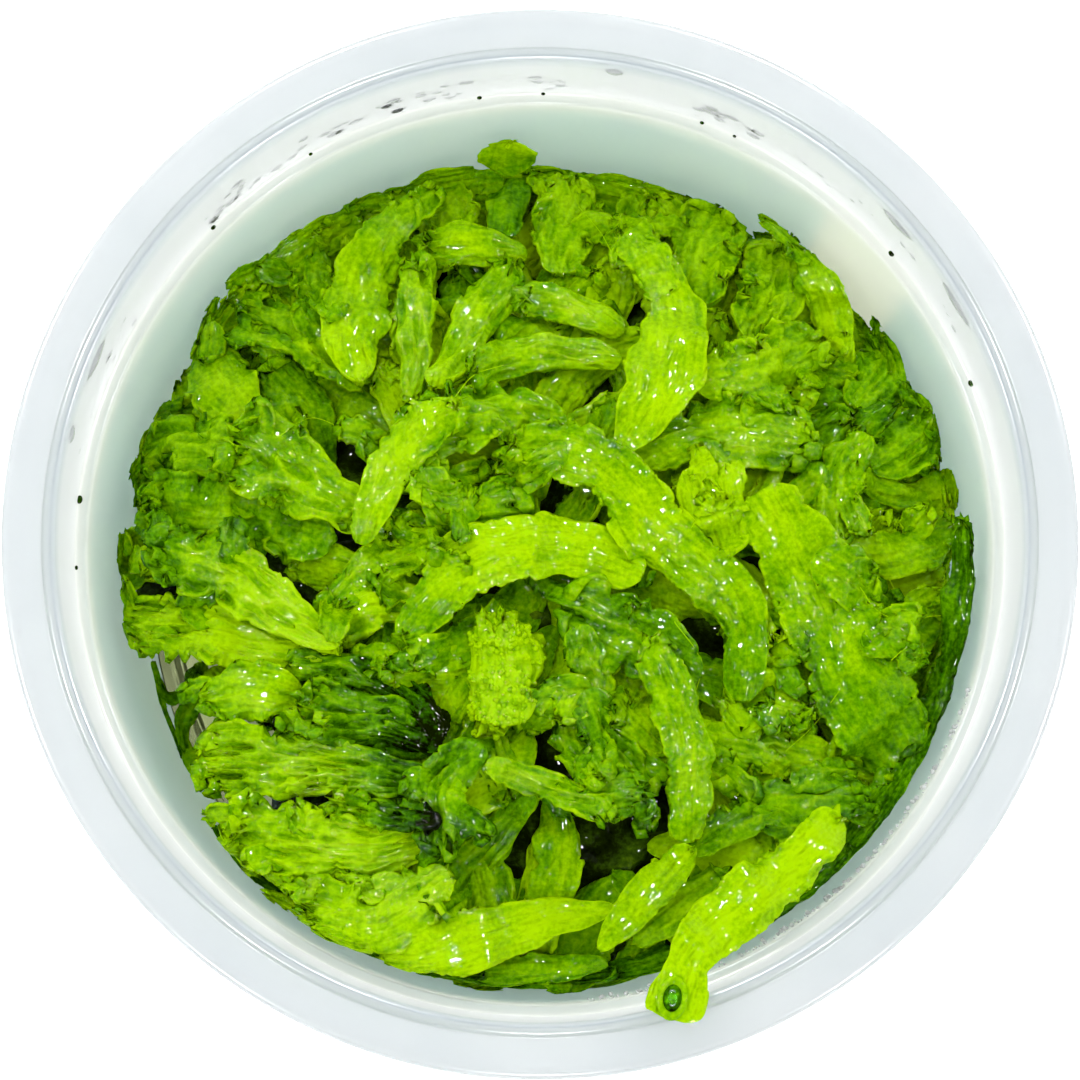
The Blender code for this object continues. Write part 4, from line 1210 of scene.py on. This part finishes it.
knob_line = smooth_line(KNOB, SPINE_POINTS) * MM
ribbons = [make_frond("knob", knob_line, 6.4, "broad", (0.5, 0.7, 1.05), KNOB_SEED)]
# The near ribbons' dark tones, 0.25 to 0.35, are painted shade.
for number, degrees in enumerate(RIBBON_DEGREES):
    spine = along_wall(number, degrees, RIBBON_SPAN_DEG, RIBBON_HEIGHT, 3, 1.8)
    ribbons.append(make_frond(f"ribbon_{number}", spine, 5.0, "blade", (0.25, 0.35, 0.3),
                              RIBBON_SEED + SEED_STEP * number, -24.0, branches=0))
for number, (degrees, height, kind) in enumerate(FAR_RIBBONS):
    spine = along_wall(number, degrees, FAR_SPAN_DEG, height, 5, 3.4)
    ribbons.append(make_frond(f"far_ribbon_{number}", spine, 7.5, kind, (0.62, 0.74, 0.66),
                              FAR_RIBBON_SEED + SEED_STEP * number, -30.0))
for number, (line, height, width, tone) in enumerate(HANGING):
    levels = np.full(SPINE_POINTS, height * MM)
    spine = np.column_stack([seen_at(smooth_line(line, SPINE_POINTS) * MM, levels), levels])
    ribbons.append(make_frond(f"hanging_{number}", spine, width, "ribbon", (tone, tone, tone - 0.1),
                              HANGING_SEED + SEED_STEP * number))
print("ribbons:", len(ribbons))
wall_growth = joined("ribbons_along_the_wall", ribbons)
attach(wall_growth, "root")
print(wall_growth.name, "faces:", len(wall_growth.data.polygons))

# %% [markdown]
# ## The small fronds
# Small fronds of the same forms fill the heap. They are placed along a spiral of sunflower seeds,
# which spreads points evenly over a disc, and mostly point outwards, as the large ones do. Where a
# large frond lies above, a small one is pressed down under it.

# %% Where small fronds may be
# Places in mm where the photograph looks down into the dark.
DARK_GAPS = [(12.4, -6.8), (1.9, -10.6), (12.9, 5.8), (23.3, -17.0), (4.1, -21.5), (5.2, -26.6),
             (10.3, -18.9), (0.0, 4.3), (-19.0, 8.7), (-20.9, 1.1), (-14.0, 4.6), (21.0, 0.4)]
GAP_RADIUS = 2.1
NOTCH_DEG = 208.0
NOTCH_HALF_WIDTH_DEG = 20.0
NOTCH_REACH = 30.0

large_trees = [solid_tree(node) for node in frond_nodes]


def over_notch(x, y):
    """Whether a place in mm lies in the gap at the lower left, where the gel shows."""
    away = (math.degrees(math.atan2(y, x)) - NOTCH_DEG + 180) % 360 - 180
    return abs(away) < NOTCH_HALF_WIDTH_DEG and math.hypot(x, y) > NOTCH_REACH


def lowest_large(x, y):
    """Height of the underside of the lowest large frond over a place, or a height above them all."""
    lowest = RAY_START
    for tree in large_trees:
        hit = tree.ray_cast(Vector((x, y, 0)), Vector((0, 0, 1)))[0]
        if hit is not None:
            lowest = min(lowest, hit.z)
    return lowest


# %% Small fronds on the heap
# Fronds are tried at this many places, and left out over the notch and the dark gaps.
SMALL_FRONDS = 170
SMALL_PIECES = 5
SMALL_REACH = 40.0
SMALL_CELL = 0.36
SMALL_POINTS = 16
SMALL_LENGTH = (10.0, 17.0)
SMALL_WIDTH = (4.6, 7.2)
SMALL_TONE = (0.5, 0.98)
SMALL_SEED = 1000
SUNFLOWER_ANGLE = math.pi * (3 - math.sqrt(5))
UNDER_LARGE = 2.4 * MM

chance = random.Random(7)
mat_tree = solid_tree("mat")


def small_frond(index):
    """A small frond at its place on the spiral, or nothing where there is none."""
    reach = SMALL_REACH * math.sqrt((index + 0.5) / SMALL_FRONDS)
    angle = index * SUNFLOWER_ANGLE
    heading = angle + math.radians(chance.uniform(-45, 45))
    length = chance.uniform(*SMALL_LENGTH)
    bend = math.radians(chance.uniform(-50, 50))
    line = [(reach * math.cos(angle) + length * t * math.cos(heading + bend * t),
             reach * math.sin(angle) + length * t * math.sin(heading + bend * t))
            for t in np.linspace(-0.5, 0.5, 5)]
    if any(over_notch(x, y) for x, y in line[1:]):
        return None
    if any(math.dist(place, gap) < GAP_RADIUS for place in line for gap in DARK_GAPS):
        return None
    points = smooth_line(line, SMALL_POINTS) * MM
    ground = drop(mat_tree, points)
    if ground is None:
        return None
    height = ground + np.linspace(-2.0, chance.uniform(0.2, 2.6), SMALL_POINTS) * MM
    ceiling = np.array([lowest_large(x, y) for x, y in points]) - UNDER_LARGE
    height = np.minimum(height, np.maximum(ceiling, ground - UNDER_LARGE))
    height = np.convolve(np.pad(height, 2, mode="edge"), np.ones(5) / 5, mode="valid")
    kind = chance.choice(("crisp", "fan", "blade", "ribbon", "puckered"))
    tone = chance.uniform(*SMALL_TONE)
    width = chance.uniform(*SMALL_WIDTH)
    roll = chance.uniform(-25, 25)
    return make_frond(f"small_{index}", np.column_stack([points, height]), width, kind,
                      (tone - 0.12, tone, tone - 0.04), SMALL_SEED + SEED_STEP * index, roll, SMALL_CELL,
                      branches=1)


small = [made for made in map(small_frond, range(SMALL_FRONDS)) if made]
print("small fronds:", len(small))
for k in range(SMALL_PIECES):
    thicket = joined(f"small_fronds_{k + 1}", small[k::SMALL_PIECES])
    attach(thicket, "root")
    print(thicket.name, "faces:", len(thicket.data.polygons))

# %% [markdown]
# ## Water
# The cup is closed while the plant travels, so water collects in it: drops on the collar, a film
# along the bead, and foam where the growth meets the near wall. A drop on plastic is a flattened
# dome, so each is a small sphere, squashed towards the wall and drawn out along it.

# %% Water and foam
def watery(name, clear):
    """Water. Clear is the share of light that passes, and foam sends the rest back white."""
    made, tree, place = new_material(name)
    tremble = put(tree, "TexNoise", {"Vector": place, "Scale": 1 / (1.5 * MM), "Detail": 1.0})
    ripple = put(tree, "Bump", {"Height": tremble.outputs["Fac"], "Strength": 0.1, "Distance": 0.1 * MM})
    gloss = put(tree, "MapRange", {"Value": tremble.outputs["Fac"], "To Min": 0.0, "To Max": 0.03})
    tint = put(tree, "ValToRGB", {"Fac": tremble.outputs["Fac"]})
    set_stops(tint, [(0.0, "#F4F8F8"), (1.0, "#FFFFFF")])
    surface = put(tree, "BsdfPrincipled", {
        "Base Color": tint.outputs["Color"],
        "Roughness": gloss.outputs["Result"],
        "IOR": 1.33,
        "Transmission Weight": clear,
        "Normal": ripple.outputs["Normal"],
    })
    put(tree, "OutputMaterial", {"Surface": surface.outputs["BSDF"]})
    return made


water = watery("clean_water", 1.0)
froth = watery("water_foam", 0.6)
print("waters:", water.name, froth.name)


# %% One drop
def add_drop(form, degrees, reach, height, sizes, subdivisions=2):
    """A small ellipsoid on the wall. Sizes are its half-lengths outwards, along the wall and up."""
    made = bmesh.ops.create_icosphere(form, subdivisions=subdivisions, radius=1.0)["verts"]
    bmesh.ops.scale(form, verts=made, vec=[size * MM for size in sizes])
    bmesh.ops.translate(form, verts=made, vec=(reach * MM, 0, height * MM))
    turn = Matrix.Rotation(math.radians(degrees), 3, "Z")
    bmesh.ops.rotate(form, verts=made, cent=(0, 0, 0), matrix=turn)


# %% Drops on the collar
# Runs of drops: first and last angle in degrees, how many, and the largest half-length in mm.
COLLAR_DROPS = [
    (99, 136, 42, 0.55),
    (86, 93, 8, 0.45),
    (62, 71, 14, 0.5),
    (25, 58, 12, 0.35),
    (150, 172, 9, 0.35),
]
# In mm: the heights that drops are at, the radius and height of the collar's foot, and its slope.
DROP_HEIGHTS = (46.3, 50.5)
COLLAR_FOOT = (44.2, 45.9)
COLLAR_SLOPE = 0.07
# Patches of film below the bead: angle in degrees and half-length in mm, at a radius and a height.
FILM_PATCHES = [(158.0, 1.2), (167.5, 0.5), (41.5, 1.1), (29.5, 1.4), (81.0, 0.5)]
FILM_PLACE = (44.8, 53.6)

chance = random.Random(11)
drops = bmesh.new()
for first, last, count, largest in COLLAR_DROPS:
    for _ in range(count):
        height = chance.uniform(*DROP_HEIGHTS)
        size = largest * chance.uniform(0.35, 1.0)
        reach = COLLAR_FOOT[0] + (height - COLLAR_FOOT[1]) * COLLAR_SLOPE
        add_drop(drops, chance.uniform(first, last), reach, height, (0.4 * size, 1.5 * size, size))
for degrees, half_length in FILM_PATCHES:
    add_drop(drops, degrees, *FILM_PLACE, (0.35, 1.8 * half_length, 0.9))
collar_water = make_object("drops_on_collar", drops, water, 80.0)
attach(collar_water, "root")
print("drops on the collar:", sum(run[2] for run in COLLAR_DROPS))

# %% Foam at the near wall
# First and last angle in degrees, how many bubbles, the radii they have and their heights in mm.
FOAM_DEGREES = (-84, -18)
BUBBLES = 170
BUBBLE_RADII = (0.1, 0.14, 0.18, 0.28)
BUBBLE_HEIGHTS = (43.6, 44.4)

foam_form = bmesh.new()
for _ in range(BUBBLES):
    size = chance.choice(BUBBLE_RADII)
    height = chance.uniform(*BUBBLE_HEIGHTS)
    reach = wall_radius(height * MM) / MM - size - 0.25 * chance.random() ** 2
    degrees = chance.uniform(*FOAM_DEGREES)
    add_drop(foam_form, degrees, reach, height, (size, size, size), subdivisions=1)
foam = make_object("foam_on_near_wall", foam_form, froth, 80.0)
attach(foam, "root")
print("bubbles:", BUBBLES)

# %% [markdown]
# ## The hollow end
# The frond that reaches over the rim ends in a small open tube, and a drop of water stands in it.
# The tube's lip is a small circle spun into a ring, and its inside is a flat disc painted dark, as
# painted shade.

# %% Hollow end
LIP_SEEN = [(12.0, -43.2), (12.1, -42.6), (12.2, -42.0)]
LIP_RADIUS = 0.3 * MM
LIP_REACH = 1.15 * MM
LIP_STRETCH = 1.45
LIP_TILT = math.radians(-8)
LIP_TONE = 0.7
# Tone of the disc inside the tube: painted shade.
HOLLOW_SHADE_TONE = 0.15
# Half-lengths of the drop and how far it stands above the frond, in mm.
LIP_DROP = (0.45, 0.75, 0.4)
LIP_DROP_RISE = 0.3


def hollow_end(middle):
    """The lip of the tube and a disc inside it painted dark as painted shade, about a place on the
    frond.
    """
    form = bmesh.new()
    lime = form.verts.layers.float.new("lime")
    circle = bmesh.ops.create_circle(form, segments=10, radius=LIP_RADIUS)["verts"]
    upright = Matrix.Rotation(math.radians(90), 3, "X")
    bmesh.ops.rotate(form, verts=circle, cent=(0, 0, 0), matrix=upright)
    bmesh.ops.translate(form, verts=circle, vec=(LIP_REACH, 0, 0))
    bmesh.ops.spin(form, geom=form.edges[:], cent=(0, 0, 0), axis=(0, 0, 1), dvec=(0, 0, 0),
                   angle=2 * math.pi, steps=24, use_merge=True)
    for vertex in form.verts:
        vertex[lime] = LIP_TONE
    # A flat disc in the tube, painted dark as painted shade.
    inside = bmesh.ops.create_circle(form, cap_ends=True, segments=24, radius=LIP_REACH)["verts"]
    for vertex in inside:
        vertex[lime] = HOLLOW_SHADE_TONE
    bmesh.ops.scale(form, verts=form.verts, vec=(1, LIP_STRETCH, 1))
    tilt = Matrix.Rotation(LIP_TILT, 3, "Z")
    bmesh.ops.rotate(form, verts=form.verts, cent=(0, 0, 0), matrix=tilt)
    bmesh.ops.translate(form, verts=form.verts, vec=middle)
    return make_object("hollow_end", form, young_thallus, 60.0)


lip_place = laid_on(solid_tree(RIM_FROND), LIP_SEEN, 0.1)[SPINE_POINTS // 2]
lip = hollow_end(lip_place)
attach(lip, "root")
print("hollow end, its place in mm:", (lip_place / MM).round(1))

# %% Drop in the hollow end
bead = bmesh.new()
bmesh.ops.create_icosphere(bead, subdivisions=3, radius=1.0)
bmesh.ops.scale(bead, verts=bead.verts, vec=[size * MM for size in LIP_DROP])
bmesh.ops.translate(bead, verts=bead.verts, vec=lip_place + np.array([0.0, 0.0, LIP_DROP_RISE]) * MM)
drop_of_water = make_object("drop_in_hollow_end", bead, water, 80.0)
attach(drop_of_water, "root")
print("drop faces:", len(drop_of_water.data.polygons))

# %% [markdown]
# ## Torn bits
# A few crumbs of the plant, each under a millimetre, are stuck where the ledge meets the collar. At
# that size a squashed sphere is enough.

# %% Crumbs
# Angle in degrees and size in mm.
CRUMBS = [(89.6, 0.15), (97.6, 0.18), (135.3, 0.2), (69.3, 0.16), (64.9, 0.14), (40.2, 0.24),
          (182.4, 0.16), (173.9, 0.3), (21.1, 0.24), (120.0, 0.15)]
# Radius and height in mm.
CRUMB_PLACE = (44.0, 45.3)

crumb_form = bmesh.new()
for degrees, size in CRUMBS:
    add_drop(crumb_form, degrees, *CRUMB_PLACE, (size, 1.4 * size, 0.8 * size))
crumbs = make_object("crumbs_on_ledge", crumb_form, young_thallus, 60.0)
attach(crumbs, "root")
print("crumbs:", len(CRUMBS))

# %% [markdown]
# ## Hair-thin fibres
# Some ends have frayed to fibres about a tenth of a millimetre thick. A curve with a round bevel
# gives such a fibre a body, and it is then turned into a mesh.

# %% Fibres
FIBRE_RADIUS = 0.045 * MM
FIBRE_LIFT = 0.9
FIBRE_SMOOTHING = 15
# Lines as the eye sees them, in mm across the plane of the flange.
FIBRES = [
    [(32.3, -4.0), (33.4, -6.6), (32.9, -8.6), (34.6, -9.8)],
    [(29.6, -4.8), (31.2, -7.0), (33.8, -8.2)],
    [(37.6, -7.4), (35.2, -7.8), (34.0, -10.0), (32.4, -11.6)],
    [(27.6, -14.4), (25.2, -17.6), (22.6, -20.0)],
    [(3.6, 31.0), (5.6, 28.6), (6.6, 26.8)],
    [(-8.2, 12.6), (-6.2, 15.0), (-3.4, 16.0)],
    [(-24.4, 9.2), (-21.4, 11.0), (-18.6, 10.2)],
    [(12.4, -8.0), (14.8, -11.6), (14.2, -15.2)],
]


def fibre_object(name, lines):
    """Thin round strands that lie on the growth."""
    curve = bpy.data.curves.new(name, "CURVE")
    curve.dimensions = "3D"
    curve.bevel_depth = FIBRE_RADIUS
    curve.bevel_resolution = 1
    for line in lines:
        places = laid_on(growth_tree, line, FIBRE_LIFT, FIBRE_SMOOTHING)
        strand = curve.splines.new("POLY")
        strand.points.add(len(places) - 1)
        strand.points.foreach_set("co", np.column_stack([places, np.ones(len(places))]).reshape(-1))
    carrier = bpy.data.objects.new(name, curve)
    bpy.context.scene.collection.objects.link(carrier)
    bpy.context.view_layer.update()
    mesh = bpy.data.meshes.new_from_object(carrier)
    bpy.data.objects.remove(carrier)
    mesh.attributes.new("lime", "FLOAT", "POINT").data.foreach_set("value", [1.0] * len(mesh.vertices))
    mesh.materials.clear()
    return shown(name, mesh, young_thallus)


fibres = fibre_object("hair_thin_fibres", FIBRES)
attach(fibres, "root")
print("fibres:", len(FIBRES))
